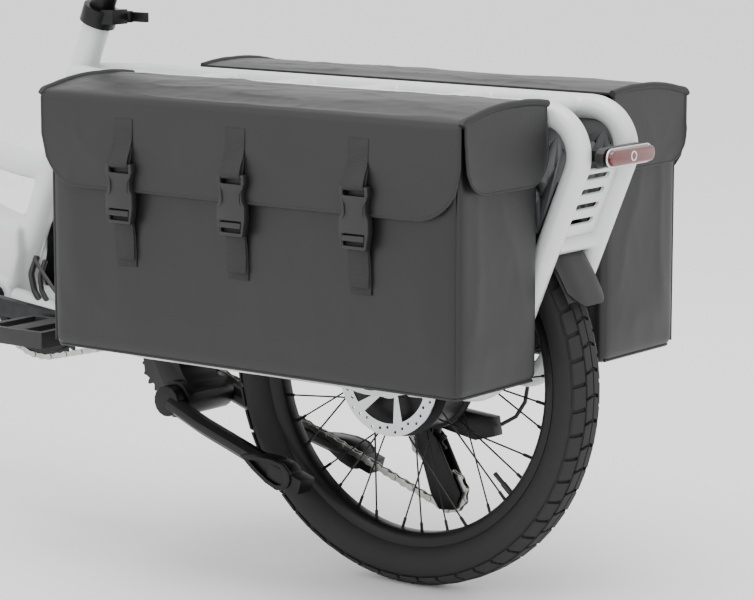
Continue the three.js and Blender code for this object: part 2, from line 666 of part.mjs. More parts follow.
// An outline of [x, y] points, extruded from z0 to z1.
function upright(outline, z0, z1) {
  const shape = new THREE.Shape(outline.map(([x, y]) => new THREE.Vector2(x, y)));
  return new THREE.ExtrudeGeometry(shape, { depth: z1 - z0, bevelEnabled: false }).translate(0, 0, z0);
}

// Lid: a top panel with a long flap over the outer side, an ear over each end, and three buckled straps.
function bagLid(side) {
  const outer = BAG.y1 + 1.5;
  const x0 = BAG.x0 - 1.5;
  const x1 = BAG.x1 + 1.5;
  const slab = (xa, xb, ya, yb, za, zb) => box(xa, xb, Math.min(side * ya, side * yb), Math.max(side * ya, side * yb), za, zb);
  const t = LID_THICKNESS;
  const pieces = [
    slab(x0 - t, x1 + t, BAG.y0, outer + t, BAG.z1 + 1.5, LID_TOP_Z),
    slab(x0 - t + 1, x1 + t - 1, outer, outer + t, FLAP_BOTTOM_Z, LID_TOP_Z - 2),
    slab(x0 - t, x0, BAG.y0 + 4, outer + 2, EAR_BOTTOM_Z, LID_TOP_Z - 2),
    slab(x1, x1 + t, BAG.y0 + 4, outer + 2, EAR_BOTTOM_Z, LID_TOP_Z - 2),
  ];
  for (const x of BUCKLE_XS) {
    pieces.push(slab(x - 15, x + 15, outer + t - 1, outer + t + 3, FLAP_BOTTOM_Z + 10, FLAP_BOTTOM_Z + 70));
    pieces.push(slab(x - 19, x + 19, outer + 2, outer + t + 8, FLAP_BOTTOM_Z - 48, FLAP_BOTTOM_Z + 24));
  }
  return join(...pieces);
}

// ---------- seat ----------
function seatClamp() {
  const lower = seatTubePoint(SEAT_TUBE_TOP_Z - 14);
  const upper = seatTubePoint(SEAT_TUBE_TOP_Z + 6);
  const ring = rod(lower, upper, 23, 20);
  const middle = seatTubePoint(SEAT_TUBE_TOP_Z - 4);
  const lugs = box(middle[0] - 34, middle[0] - 14, -14, 14, middle[2] - 10, middle[2] + 8);
  const tubeBore = rod(seatTubePoint(SEAT_TUBE_TOP_Z - 40), seatTubePoint(SEAT_TUBE_TOP_Z + 1), SEAT_TUBE_RADIUS + 0.5, 24);
  const postBore = rod(seatTubePoint(SEAT_TUBE_TOP_Z - 40), seatTubePoint(SEAT_TUBE_TOP_Z + 40), SEATPOST_BORE_RADIUS, 24);
  return cut(join(ring, lugs), tubeBore, postBore);
}

// Quick-release lever on the right, hinged on an upright cam pin behind the clamp.
const LEVER_PIVOT = { x: seatTubePoint(SEAT_TUBE_TOP_Z - 4)[0] - 27, y: -22, z: SEAT_TUBE_TOP_Z - 6 };

function quickReleaseLever() {
  const cam = rod([0, 0, -7], [0, 0, 7], 7, 14);
  const blade = box(-30, 2, -6, 0, -6, 6);
  return join(cam, blade);
}

function seatpost() {
  const bottom = seatTubePoint(SEAT_TUBE_TOP_Z - 150);
  const top = seatTubePoint(SEAT_TUBE_TOP_Z + SADDLE_RISE - 12);
  const post = rod(bottom, top, SEATPOST_RADIUS, 20);
  const head = rod([top[0], -20, top[2]], [top[0], 20, top[2]], 16, 14);
  return join(post, head);
}

function saddle() {
  const [x, , z] = seatTubePoint(SEAT_TUBE_TOP_Z + SADDLE_RISE);
  const edge = [];
  for (let i = 0; i <= 10; i += 1) {
    const t = i / 10;
    edge.push([x - 120 + 262 * t, 18 + 72 * (1 - t) ** 1.6]);
  }
  const outline = [...edge.map(([px, py]) => [px, -py]), ...[...edge].reverse()];
  const cushion = upright(outline, z + 22, z + 62);
  const rails = [1, -1].map((side) => tube([[x - 80, side * 24, z + 26], [x - 50, side * 22, z + 8],
    [x + 50, side * 22, z + 8], [x + 110, side * 10, z + 26]], 4, { bend: 20, sides: 6 }));
  const clampBlock = box(x - 18, x + 18, -27, 27, z + 4.4, z + 14);
  return join(cushion, ...rails, clampBlock);
}

// ---------- steering assembly, drawn along the steering axis from the crown race ----------
const steering = new THREE.Group();
steering.position.set(CROWN.x, 0, CROWN.z);
steering.rotation.y = -HEAD_LEAN;
bicycle.add(steering);

const BAR_CLAMP = { forward: 46, up: 345 };
const cockpit = new THREE.Group(); // level again, with its origin at the handlebar clamp
cockpit.position.set(BAR_CLAMP.forward, 0, BAR_CLAMP.up);
cockpit.rotation.y = HEAD_LEAN;
steering.add(cockpit);

function fork() {
  const steerer = rod([0, 0, -14], [0, 0, HEAD_TUBE_LENGTH + 46], STEERER_RADIUS, 16);
  const seatRing = rod([0, 0, -20], [0, 0, -GAP], 26, 20);
  const crown = rod([0, -50, -20], [0, 50, -20], 17, 12);
  const pieces = [steerer, seatRing, crown];
  for (const side of [1, -1]) {
    pieces.push(tube([[0, side * 48, -10], [4, side * 56, -150], [FORK_OFFSET, side * 60, -FORK_LENGTH + 6]],
      12, { bend: 300, sides: 12 }));
    const y0 = side > 0 ? FRONT_HUB_HALF_WIDTH + 0.6 : -FRONT_HUB_HALF_WIDTH - 9;
    pieces.push(plate([[28, -330], [58, -330], [62, -352], [50, -366], [36, -364], [26, -350]], y0, y0 + 8.4));
  }
  pieces.push(rod([FORK_OFFSET, -66, -FORK_LENGTH], [FORK_OFFSET, 66, -FORK_LENGTH], 6, 12));
  return join(...pieces);
}

function stem() {
  const low = HEAD_TUBE_LENGTH + GAP;
  const collar = rod([0, 0, low], [0, 0, HEAD_TUBE_LENGTH + 62], 21, 20);
  const riser = tube([[0, 0, HEAD_TUBE_LENGTH + 52], [6, 0, HEAD_TUBE_LENGTH + 120],
    [BAR_CLAMP.forward, 0, BAR_CLAMP.up]], 16, { bend: 90, sides: 12 });
  const clamp = rod([BAR_CLAMP.forward, -22, BAR_CLAMP.up], [BAR_CLAMP.forward, 22, BAR_CLAMP.up], 22, 20);
  const steererBore = rod([0, 0, low - 5], [0, 0, HEAD_TUBE_LENGTH + 48], STEERER_RADIUS + 0.6, 16);
  const barBore = rod([BAR_CLAMP.forward, -30, BAR_CLAMP.up], [BAR_CLAMP.forward, 30, BAR_CLAMP.up], 16.6, 20);
  return cut(join(collar, riser, clamp), steererBore, barBore);
}

const GRIP_START = [-72, 204, 74];
const GRIP_END = [-118, 318, 70];

function onGrip(side, fraction) {
  return GRIP_START.map((value, i) => (value + (GRIP_END[i] - value) * fraction) * (i === 1 ? side : 1));
}

function handlebar() {
  const middle = rod([0, -34, 0], [0, 34, 0], 15.9, 20);
  const half = (side) => tube([[0, 0, 0], [0, side * 48, 0], [0, side * 100, 66], onGrip(side, -0.5), onGrip(side, 1)],
    11.1, { bend: 45, sides: 12 });
  return join(middle, half(1), half(-1));
}

function grip(side) {
  return cut(rod(onGrip(side, 0.02), onGrip(side, 1.03), 16, 14), rod(onGrip(side, -0.1), onGrip(side, 1.005), 11.7, 14));
}

function leverClamp(side) {
  const ring = cut(rod(onGrip(side, -0.16), onGrip(side, -0.02), 16, 14), rod(onGrip(side, -0.3), onGrip(side, 0.1), 11.8, 14));
  const [x, y, z] = onGrip(side, -0.12);
  const reservoir = rod([x + 34, y - side * 8, z - 4], [x + 28, y + side * 15, z - 4], 8, 10);
  const neck = box(x + 14.8, x + 32, y - 6, y + 6, z - 9, z + 5);
  return join(ring, neck, reservoir);
}

const LEVER_HINGE = onGrip(1, 0.14).map((value, i) => value + [38, 0, -4][i]);

function brakeLever(side) {
  const [hx, hy, hz] = LEVER_HINGE;
  const boss = rod([hx, side * hy, hz - 6], [hx, side * hy, hz + 6], 7, 10);
  const blade = tube([[hx, side * hy, hz], [hx + 6, side * (hy + 24), hz], [hx - 28, side * (hy + 96), hz]],
    5, { bend: 30, sides: 8 });
  return join(boss, blade);
}

// Thumb shifter, clamped inboard of the right brake lever, with its paddle below the bar.
function shifterBody() {
  const ring = cut(rod(onGrip(-1, -0.4), onGrip(-1, -0.28), 15, 12), rod(onGrip(-1, -0.6), onGrip(-1, 0), 11.8, 12));
  const [x, y, z] = onGrip(-1, -0.34);
  return join(ring, box(x - 14, x + 20, y - 5, y + 11, z - 30, z - 14));
}

function shiftLever() {
  const [x, y, z] = onGrip(-1, -0.34);
  const boss = rod([x, y + 3, z - 38], [x, y + 3, z - 30.5], 8, 12);
  const paddle = tube([[x, y + 3, z - 35], [x - 30, y - 6, z - 35], [x - 44, y - 22, z - 35]], 3, { bend: 14, sides: 6 });
  return join(boss, paddle);
}

function display() {
  const screen = box(-24, 26, -36, 36, 30, 40);
  const strap = box(-6, 6, -9, 9, 23, 31);
  return join(screen, strap);
}

function frontLight() {
  const shell = rod([34, 0, 0], [72, 0, 0], 22, 20);
  const foot = box(27, 40, -8, 8, -12, 12);
  return join(shell, foot);
}

// ---------- assembly ----------
node("head_tube", headTube(), white);
node("top_tube", topTube(), white);
node("down_tube", downTube(), white);
node("seat_tube", seatTube(), white);
node("rack_frame", rackFrame(), white);
node("left_chainstay", chainstay(1), white);
node("right_chainstay", chainstay(-1), white);
node("left_wheel_guard", wheelGuard(1), greyPlastic);
node("right_wheel_guard", wheelGuard(-1), greyPlastic);
node("battery_pack", batteryPack(), blackPlastic);

const rearWheel = new THREE.Group();
rearWheel.position.set(0, 0, WHEEL_RADIUS);
bicycle.add(rearWheel);
node("rear_tyre", tyre(), rubber, rearWheel);
node("rear_rim", rimWithSpokes(MOTOR_FLANGE_RADIUS + 0.6, MOTOR_FLANGE_Y, 14, []), blackMetal, rearWheel);
node("hub_motor", hubMotor(), blackMetal, rearWheel);
node("rear_rotor", rotor(), steel, rearWheel).position.y = REAR_ROTOR_Y;
node("rear_axle", rearAxle(), darkSteel, rearWheel);
node("cassette", cassette(), darkSteel, rearWheel).position.y = CHAIN_Y;
node("rear_fender", fender(155.5, 35, 12), blackPlastic, rearWheel);
const rearCaliper = node("rear_caliper", caliper(), blackMetal, rearWheel);
rearCaliper.position.set(40, REAR_ROTOR_Y, 52);
rearCaliper.rotation.y = 0.66;

const frontWheel = new THREE.Group();
frontWheel.position.set(WHEELBASE, 0, WHEEL_RADIUS);
bicycle.add(frontWheel);
node("front_tyre", tyre(), rubber, frontWheel);
node("front_rim", rimWithSpokes(26, 26, 32, [frontHub()]), blackMetal, frontWheel);
node("front_rotor", rotor(), steel, frontWheel).position.y = FRONT_ROTOR_Y;
node("front_fender", fender(172, 38, 13), blackPlastic, frontWheel);

const tailLight = new THREE.Group();
tailLight.position.set(TAIL_LIGHT_X, 0, TAIL_LIGHT_Z);
bicycle.add(tailLight);

function stadium(halfLength, radius) {
  return [...arcPoints(radius, -90, 90, 6, halfLength - radius, 0), ...arcPoints(radius, 90, 270, 6, radius - halfLength, 0)];
}

// The light's outline lies in the y and z plane, so the plate is turned to face the rear.
function lightBlock(halfLength, radius, x0, x1) {
  return plate(stadium(halfLength, radius), x0, x1).rotateZ(Math.PI / 2);
}

node("tail_light_housing", join(lightBlock(47, 10.5, 0.5, 11), box(-2, 34, -10, 10, -9, 3)), blackPlastic, tailLight);
node("tail_light_lens", lightBlock(45, 9, 11.4, -REAR_END_X + TAIL_LIGHT_X), redLens, tailLight);

const crankset = new THREE.Group();
crankset.position.set(BB.x, 0, BB.z);
bicycle.add(crankset);
node("chainring", join(chainWheel(CHAINRING_TEETH, 13.2, 2, 36), disc(13.2, 30, -14, 2, 16)), darkSteel, crankset).position.y = CHAIN_Y;
node("left_crank", crank(1), blackMetal, crankset);
node("right_crank", crank(-1), blackMetal, crankset);
for (const [name, side] of [["left_pedal", 1], ["right_pedal", -1]]) {
  const mesh = node(name, pedal(side), blackPlastic, crankset);
  mesh.position.x = -side * CRANK_LENGTH * Math.cos(CRANK_DROP);
  mesh.position.z = -side * CRANK_LENGTH * Math.sin(CRANK_DROP);
}

node("chain", chain(), steel);
node("derailleur", derailleur(), blackMetal);
for (const [name, place, bore] of [["guide_pulley", GUIDE_PULLEY, 4.5], ["tension_pulley", TENSION_PULLEY, 4.5],
  ["idler_sprocket", IDLER, 5.5]]) {
  node(name, chainWheel(place.teeth, bore, 1.8, 16), blackPlastic).position.set(place.x, CHAIN_Y, place.z);
}

node("kickstand_bracket", kickstandBracket(), blackMetal);
node("kickstand", kickstandLegs(), blackMetal).position.set(STAND_PIVOT.x, 0, STAND_PIVOT.z);
node("rear_brake_hose", heldCable(REAR_HOSE, 2.5), blackPlastic);
node("shift_housing", heldCable(SHIFT_HOUSING, 2.5), blackPlastic);

for (const [name, side] of [["left", 1], ["right", -1]]) {
  node(`${name}_bag`, bagBody(side), canvas);
  node(`${name}_bag_lid`, bagLid(side), canvas);
}

node("seat_clamp", seatClamp(), blackMetal);
const lever = node("quick_release_lever", quickReleaseLever(), blackMetal);
lever.position.set(LEVER_PIVOT.x, LEVER_PIVOT.y, LEVER_PIVOT.z);
node("seatpost", seatpost(), blackMetal);
node("saddle", saddle(), blackPlastic);

node("fork", fork(), white, steering);
node("stem", stem(), blackMetal, steering);
const frontCaliper = node("front_caliper", caliper(), blackMetal, frontWheel);
frontCaliper.position.set(-62, FRONT_ROTOR_Y, 25);
frontCaliper.rotation.y = -1.187;
const headlight = node("front_light", frontLight(), blackPlastic, steering);
headlight.position.set(0, 0, -26);
node("handlebar", handlebar(), blackMetal, cockpit);
node("display", display(), blackPlastic, cockpit);
node("shifter_body", shifterBody(), blackPlastic, cockpit);
node("shift_lever", shiftLever(), blackPlastic, cockpit);
for (const [name, side] of [["left", 1], ["right", -1]]) {
  node(`${name}_grip`, grip(side), rubber, cockpit);
  node(`${name}_lever_clamp`, leverClamp(side), blackPlastic, cockpit);
  node(`${name}_brake_lever`, brakeLever(side), blackMetal, cockpit);
}

bicycle.position.x = -(WHEELBASE + WHEEL_RADIUS + REAR_END_X) / 2;

export default bicycle;
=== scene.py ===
# %% [markdown]
# # A longtail cargo bicycle with two side bags
# The CAD model says where every piece is and how it moves. This script gives each piece its finished
# shape and surface: it loads the CAD as a fixed frame, hangs detailed pieces on its bodies and paints
# them with procedural materials. All lengths are written in millimetres from the rear wheel's contact
# with the ground, because that is how a bicycle is drawn, and one function turns them to metres.

# %% Load the CAD frame
import json
import math
import bpy
from mathutils import Matrix, Vector, noise

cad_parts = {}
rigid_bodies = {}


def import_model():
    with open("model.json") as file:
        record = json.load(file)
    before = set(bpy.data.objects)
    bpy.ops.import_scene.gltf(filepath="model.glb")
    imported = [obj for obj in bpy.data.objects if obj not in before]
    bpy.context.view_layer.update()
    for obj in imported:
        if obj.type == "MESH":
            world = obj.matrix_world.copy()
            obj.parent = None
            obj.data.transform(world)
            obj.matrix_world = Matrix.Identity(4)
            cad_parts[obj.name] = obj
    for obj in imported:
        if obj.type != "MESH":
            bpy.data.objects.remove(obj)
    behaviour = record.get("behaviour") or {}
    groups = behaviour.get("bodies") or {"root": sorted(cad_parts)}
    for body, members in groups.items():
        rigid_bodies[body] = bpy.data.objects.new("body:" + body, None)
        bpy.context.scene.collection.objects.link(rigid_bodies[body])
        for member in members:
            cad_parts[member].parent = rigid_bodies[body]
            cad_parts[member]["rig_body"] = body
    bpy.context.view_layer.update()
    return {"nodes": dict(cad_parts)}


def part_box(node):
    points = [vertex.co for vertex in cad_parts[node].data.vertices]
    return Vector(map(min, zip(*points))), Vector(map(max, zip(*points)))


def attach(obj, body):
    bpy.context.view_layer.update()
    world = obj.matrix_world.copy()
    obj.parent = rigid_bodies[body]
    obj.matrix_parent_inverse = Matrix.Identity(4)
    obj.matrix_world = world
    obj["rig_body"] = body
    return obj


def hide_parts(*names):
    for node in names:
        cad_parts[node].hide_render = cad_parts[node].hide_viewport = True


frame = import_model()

rear_low, rear_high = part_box("rear_tyre")
AXLE_X = (rear_low.x + rear_high.x) / 2
WHEELBASE = 1290
WHEEL_RADIUS = 254
print("rear axle at x =", round(AXLE_X, 4), "m")


def place(x, y, z):
    """A point given in millimetres from the rear wheel's contact point."""
    return Vector((AXLE_X + x / 1000, y / 1000, z / 1000))


# %% [markdown]
# ## Camera, floor and light
# A long lens far behind the left rear corner keeps the tall bag's edges almost parallel. The light is
# a soft studio: a bright even sky, one large panel overhead and one on the camera's side that lays a
# long soft streak on the paint.

# %% Camera
camera_data = bpy.data.cameras.new("camera")
camera_data.lens = 145.36
camera_data.sensor_width = 36
camera_data.clip_end = 50
camera = bpy.data.objects.new("camera", camera_data)
bpy.context.scene.collection.objects.link(camera)
camera.location = (-2.7075, 2.834, 0.9225)
target = Vector((-0.5683, 0, 0.3334))
camera.rotation_euler = (target - camera.location).to_track_quat("-Z", "Y").to_euler()
bpy.context.scene.camera = camera

# %% Soft light
world = bpy.data.worlds.new("studio")
world.use_nodes = True
world.node_tree.nodes["Background"].inputs["Color"].default_value = (1, 1, 1, 1)
world.node_tree.nodes["Background"].inputs["Strength"].default_value = 1.45
bpy.context.scene.world = world


def panel(name, place_at, aim, size, watts):
    """A square soft box that faces a point."""
    light = bpy.data.lights.new(name, "AREA")
    light.size = size
    light.energy = watts
    lamp = bpy.data.objects.new(name, light)
    bpy.context.scene.collection.objects.link(lamp)
    lamp.location = place_at
    lamp.rotation_euler = (Vector(aim) - Vector(place_at)).to_track_quat("-Z", "Y").to_euler()


panel("overhead", (-0.6, 0.4, 3.2), (-0.4, 0, 0.3), 2.6, 75)
panel("camera_side", (-3.2, 1.2, 1.6), (-0.5, 0, 0.4), 1.6, 12)
panel("left_side", (0.6, 3.4, 1.9), (-0.4, 0, 0.4), 1.8, 22)

# %% [markdown]
# ## Materials
# Each material starts from the real one: what it is, and how its surface was made. One function adds a
# node, and one turns a hex colour from a paint chart into the linear numbers that the shader wants.


# %% One node, one colour
def add_node(tree, kind, inputs=None, **settings):
    """Adds a node; an input may be a number, a colour or another node's output."""
    made = tree.nodes.new(kind)
    for name, value in settings.items():
        setattr(made, name, value)
    for name, value in (inputs or {}).items():
        if isinstance(value, bpy.types.NodeSocket):
            tree.links.new(value, made.inputs[name])
        else:
            made.inputs[name].default_value = value
    return made


def linear(hex_colour):
    """An sRGB hex colour as linear red, green, blue and alpha."""
    parts = [int(hex_colour[i:i + 2], 16) / 255 for i in (1, 3, 5)]
    return [c / 12.92 if c <= 0.04045 else ((c + 0.055) / 1.055) ** 2.4 for c in parts] + [1]


# %% A finish: mottled colour, uneven roughness and a fine grain
def finish(name, light, dark, roughness, grain_mm, grain_depth_mm, mottle_mm=40, spread=0.06, **shader):
    """A moulded, painted or cast surface. Light and dark are the two ends of its slight unevenness."""
    material = bpy.data.materials.new(name)
    material.use_nodes = True
    tree = material.node_tree
    skin = tree.nodes["Principled BSDF"]
    where = add_node(tree, "ShaderNodeTexCoord").outputs["Object"]
    mottle = add_node(tree, "ShaderNodeTexNoise", {"Vector": where, "Scale": 1000 / mottle_mm, "Detail": 4})
    grain = add_node(tree, "ShaderNodeTexNoise", {"Vector": where, "Scale": 1000 / grain_mm, "Detail": 2})
    colours = add_node(tree, "ShaderNodeMix", {"Factor": mottle.outputs["Fac"]}, data_type="RGBA")
    colours.inputs[6].default_value = linear(dark)
    colours.inputs[7].default_value = linear(light)
    rough = add_node(tree, "ShaderNodeMapRange", {"Value": mottle.outputs["Fac"],
                                                  "To Min": roughness - spread, "To Max": roughness + spread})
    bump = add_node(tree, "ShaderNodeBump", {"Height": grain.outputs["Fac"],
                                             "Distance": grain_depth_mm / 1000})
    tree.links.new(colours.outputs[2], skin.inputs["Base Color"])
    tree.links.new(rough.outputs["Result"], skin.inputs["Roughness"])
    tree.links.new(bump.outputs["Normal"], skin.inputs["Normal"])
    for socket, value in shader.items():
        skin.inputs[socket.replace("_", " ")].default_value = value
    material["bump"] = bump.name
    return material


# %% Paint, plastics and rubber
# Powder coat: polyester baked on aluminium. It levels well, so a gloss with faint orange peel.
powder_coat = finish("powder_coat_white", "#d6d8d8", "#cccfce", 0.30, 1.6, 0.012, 120, 0.04, Coat_Weight=0.6,
                     Coat_Roughness=0.12)
# Glass-filled nylon, spark-eroded mould: satin black with a fine grain.
black_nylon = finish("nylon_black", "#161617", "#0f0f10", 0.5, 0.9, 0.03)
# Textured polypropylene for the wheel guards.
grey_polypropylene = finish("polypropylene_grey", "#6c6e70", "#5c5e60", 0.62, 1.0, 0.04)
# Tyre compound: carbon-black rubber, matt, a little dusty on the tread.
tyre_rubber = finish("tyre_rubber", "#1d1d1e", "#141415", 0.8, 1.2, 0.05, 25)
grip_rubber = finish("grip_rubber", "#19191a", "#121213", 0.72, 0.8, 0.05)
binding_tape = finish("binding_tape_black", "#141415", "#0d0d0e", 0.6, 0.8, 0.05)
saddle_vinyl = finish("saddle_vinyl", "#1c1c1d", "#141415", 0.48, 1.4, 0.12)

# %% Metals
# Anodised aluminium: metallic, but its black dye leaves only a satin sheen.
black_anodised = finish("anodised_aluminium_black", "#1c1c1e", "#131315", 0.4, 0.6, 0.01, Metallic=0.6)
machined_steel = finish("stainless_steel_machined", "#c6c8c9", "#a9abad", 0.26, 0.5, 0.006, Metallic=1.0)
nickel_plate = finish("nickel_plated_steel", "#c9c8c3", "#8e8d89", 0.3, 0.6, 0.006, 14, Metallic=1.0)
dark_steel = finish("blued_steel", "#3c3e40", "#262829", 0.38, 0.6, 0.01, 14, Metallic=0.9)
chrome_plate = finish("chrome_plate", "#dfe1e2", "#cfd1d2", 0.08, 2.0, 0.002, 60, 0.02, Metallic=1.0)
red_lens = finish("acrylic_red", "#6a0505", "#420303", 0.16, 3.5, 0.5, 12, 0.05, Coat_Weight=1.0)
amber_lens = finish("acrylic_amber", "#e8662a", "#c04414", 0.25, 2.5, 0.4, 10, 0.05, Coat_Weight=1.0)


# %% [markdown]
# Tarpaulin is polyester cloth with a PVC coating on its face. The weave prints through the coating as
# a faint square grid about a millimetre apart, drawn here at 1.6 mm so that it shows at all, and the
# coating creases in long soft folds that catch the light.

# %% Coated tarpaulin
def wave_scale(period_mm):
    """The wave texture's scale for bands this many millimetres apart."""
    return math.pi / 10 / (period_mm / 1000)


def tarpaulin(name, light, dark):
    """PVC-coated cloth: soft sheen, printed-through weave, long creases."""
    material = finish(name, light, dark, 0.42, 6.0, 0.10, 160, 0.07, Specular_IOR_Level=0.4)
    tree = material.node_tree
    bump = tree.nodes[material["bump"]]
    where = add_node(tree, "ShaderNodeTexCoord").outputs["Object"]
    weave = None
    for direction in ("X", "Z", "Y"):
        thread = add_node(tree, "ShaderNodeTexWave", {"Vector": where, "Scale": wave_scale(1.6)},
                          bands_direction=direction)
        weave = thread.outputs["Fac"] if weave is None else add_node(
            tree, "ShaderNodeMath", {0: weave, 1: thread.outputs["Fac"]}, operation="MULTIPLY").outputs[0]
    print_through = add_node(tree, "ShaderNodeBump", {"Height": weave, "Distance": 0.00005,
                                                      "Normal": bump.outputs["Normal"]})
    tree.links.new(print_through.outputs["Normal"], tree.nodes["Principled BSDF"].inputs["Normal"])
    return material


bag_cloth = tarpaulin("tarpaulin_charcoal", "#1b1b1c", "#131314")
# The lid's copy of the same tarpaulin is a shade lighter than the bag's: painted light from above on the lid
# top.
lid_cloth = tarpaulin("tarpaulin_charcoal_lid_painted_light", "#1f1f20", "#161617")


# Webbing: woven polypropylene, ribs across the strap about 1.5 mm apart.
def webbing_cloth():
    material = finish("webbing_black", "#1c1c1d", "#131314", 0.7, 1.0, 0.05, 20)
    tree = material.node_tree
    where = add_node(tree, "ShaderNodeTexCoord").outputs["Object"]
    ribs = add_node(tree, "ShaderNodeTexWave", {"Vector": where, "Scale": wave_scale(1.5)},
                    bands_direction="Z")
    bump = add_node(tree, "ShaderNodeBump", {"Height": ribs.outputs["Fac"], "Distance": 0.0003,
                                             "Normal": tree.nodes[material["bump"]].outputs["Normal"]})
    tree.links.new(bump.outputs["Normal"], tree.nodes["Principled BSDF"].inputs["Normal"])
    return material


webbing = webbing_cloth()
print(len(bpy.data.materials), "materials")


# %% [markdown]
# ## Workshop helpers
# Four small tools make nearly every piece: a bent tube, a turned ring, a flat plate cut to an outline,
# and a copy of a CAD node with its edges broken. Each leaves one finished object at the origin.

# %% Selection and finishing
def only(piece):
    """Selects one object and nothing else."""
    bpy.ops.object.select_all(action="DESELECT")
    bpy.context.view_layer.objects.active = piece
    piece.select_set(True)


def modify(piece, kind, **settings):
    """Adds a modifier and applies it at once."""
    only(piece)
    modifier = piece.modifiers.new(kind.lower(), kind)
    for name, value in settings.items():
        setattr(modifier, name, value)
    bpy.ops.object.modifier_apply(modifier=modifier.name)


def settle(piece, name, material, body=None, angle=35):
    """Names, paints and smooths a piece, bakes its place into its mesh and lets it ride on a body."""
    only(piece)
    bpy.ops.object.transform_apply(location=True, rotation=True, scale=True)
    bpy.ops.object.shade_smooth_by_angle(angle=math.radians(angle))
    piece.name = name
    if material is not None:
        piece.data.materials.clear()
        piece.data.materials.append(material)
    if body is not None:
        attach(piece, body)
    return piece


def join(pieces):
    """Several objects as one."""
    only(pieces[0])
    for piece in pieces[1:]:
        piece.select_set(True)
    bpy.ops.object.join()
    return bpy.context.object


def duplicate(piece, matrix=Matrix.Identity(4)):
    """A copy with its own mesh, moved by a matrix."""
    copy = piece.copy()
    copy.data = piece.data.copy()
    bpy.context.scene.collection.objects.link(copy)
    copy.data.transform(matrix)
    if matrix.is_negative:
        copy.data.flip_normals()
    return copy


MIRROR = Matrix.Scale(-1, 4, (0, 1, 0))


def soften(piece, width_mm, segments=2, angle=30):
    """Breaks the sharp edges with a small round."""
    modify(piece, "BEVEL", width=width_mm / 1000, segments=segments, limit_method="ANGLE",
           angle_limit=math.radians(angle), harden_normals=False)


# %% A bent tube
def rounded_path(corners, bend):
    """Points along straight runs joined by round bends, in millimetres."""
    points = [Vector(corners[0])]
    for before, corner, after in zip(corners, corners[1:], corners[2:]):
        before, corner, after = Vector(before), Vector(corner), Vector(after)
        into, out = (corner - before).normalized(), (after - corner).normalized()
        turn = into.angle(out)
        if turn < 0.02 or bend == 0:
            points.append(corner)
            continue
        room = 0.45 * min((corner - before).length, (after - corner).length)
        setback = min(bend * math.tan(turn / 2), room)
        radius = setback / math.tan(turn / 2)
        axis = into.cross(out).normalized()
        spoke = axis.cross(into) * -radius
        centre = corner - into * setback - spoke
        steps = max(2, round(math.degrees(turn) / 6))
        for i in range(steps + 1):
            points.append(centre + Matrix.Rotation(turn * i / steps, 3, axis) @ spoke)
    points.append(Vector(corners[-1]))
    return points


def tube(corners, radius, bend=0, closed=False, resolution=6):
    """A round bar or tube along a bent line."""
    points = rounded_path(corners, bend)
    curve = bpy.data.curves.new("tube", "CURVE")
    curve.dimensions = "3D"
    curve.bevel_depth = radius / 1000
    curve.bevel_resolution = resolution
    curve.use_fill_caps = not closed
    line = curve.splines.new("POLY")
    line.points.add(len(points) - 1)
    for spot, point in zip(line.points, points):
        spot.co = (*place(*point), 1)
    line.use_cyclic_u = closed
    piece = bpy.data.objects.new("tube", curve)
    bpy.context.scene.collection.objects.link(piece)
    only(piece)
    bpy.ops.object.convert(target="MESH")
    return bpy.context.object


# %% A flat plate and a turned ring
def plate(outline, y0, y1, holes=(), bevel=0.6):
    """A plate cut to an outline of (x, z) points, from y0 to y1."""
    curve = bpy.data.curves.new("plate", "CURVE")
    curve.dimensions = "2D"
    curve.fill_mode = "BOTH"
    curve.extrude = abs(y1 - y0) / 2000
    for ring in [outline, *holes]:
        line = curve.splines.new("POLY")
        line.points.add(len(ring) - 1)
        for spot, (x, z) in zip(line.points, ring):
            spot.co = (x / 1000, z / 1000, 0, 1)
        line.use_cyclic_u = True
    piece = bpy.data.objects.new("plate", curve)
    bpy.context.scene.collection.objects.link(piece)
    only(piece)
    bpy.ops.object.convert(target="MESH")
    piece = bpy.context.object
    turn = Matrix(((1, 0, 0, AXLE_X), (0, 0, -1, (y0 + y1) / 2000), (0, 1, 0, 0), (0, 0, 0, 1)))
    piece.data.transform(turn)
    bpy.ops.object.mode_set(mode="EDIT")
    bpy.ops.mesh.select_all(action="SELECT")
    bpy.ops.mesh.remove_doubles(threshold=0.00001)
    bpy.ops.mesh.normals_make_consistent(inside=False)
    bpy.ops.object.mode_set(mode="OBJECT")
    if bevel:
        soften(piece, bevel)
    return piece


def turned(profile, centre, segments=96, closed=True):
    """A ring turned about the wheel's axis; the profile is (radius, y) points, the centre (x, y, z)."""
    mesh = bpy.data.meshes.new("turned")
    points = [place(centre[0] + r, centre[1] + y, centre[2]) for r, y in profile]
    count = len(points)
    edges = [(i, (i + 1) % count) for i in range(count if closed else count - 1)]
    mesh.from_pydata(points, edges, [])
    piece = bpy.data.objects.new("turned", mesh)
    bpy.context.scene.collection.objects.link(piece)
    only(piece)
    bpy.ops.object.mode_set(mode="EDIT")
    bpy.ops.mesh.select_all(action="SELECT")
    bpy.ops.mesh.spin(steps=segments, angle=2 * math.pi, center=place(*centre), axis=(0, 1, 0))
    bpy.ops.mesh.select_all(action="SELECT")
    bpy.ops.mesh.remove_doubles(threshold=0.00002)
    bpy.ops.mesh.normals_make_consistent(inside=False)
    bpy.ops.object.mode_set(mode="OBJECT")
    return piece


def circle(radius, count, x=0, z=0, start=0):
    return [(x + radius * math.cos(start + 2 * math.pi * i / count),
             z + radius * math.sin(start + 2 * math.pi * i / count)) for i in range(count)]


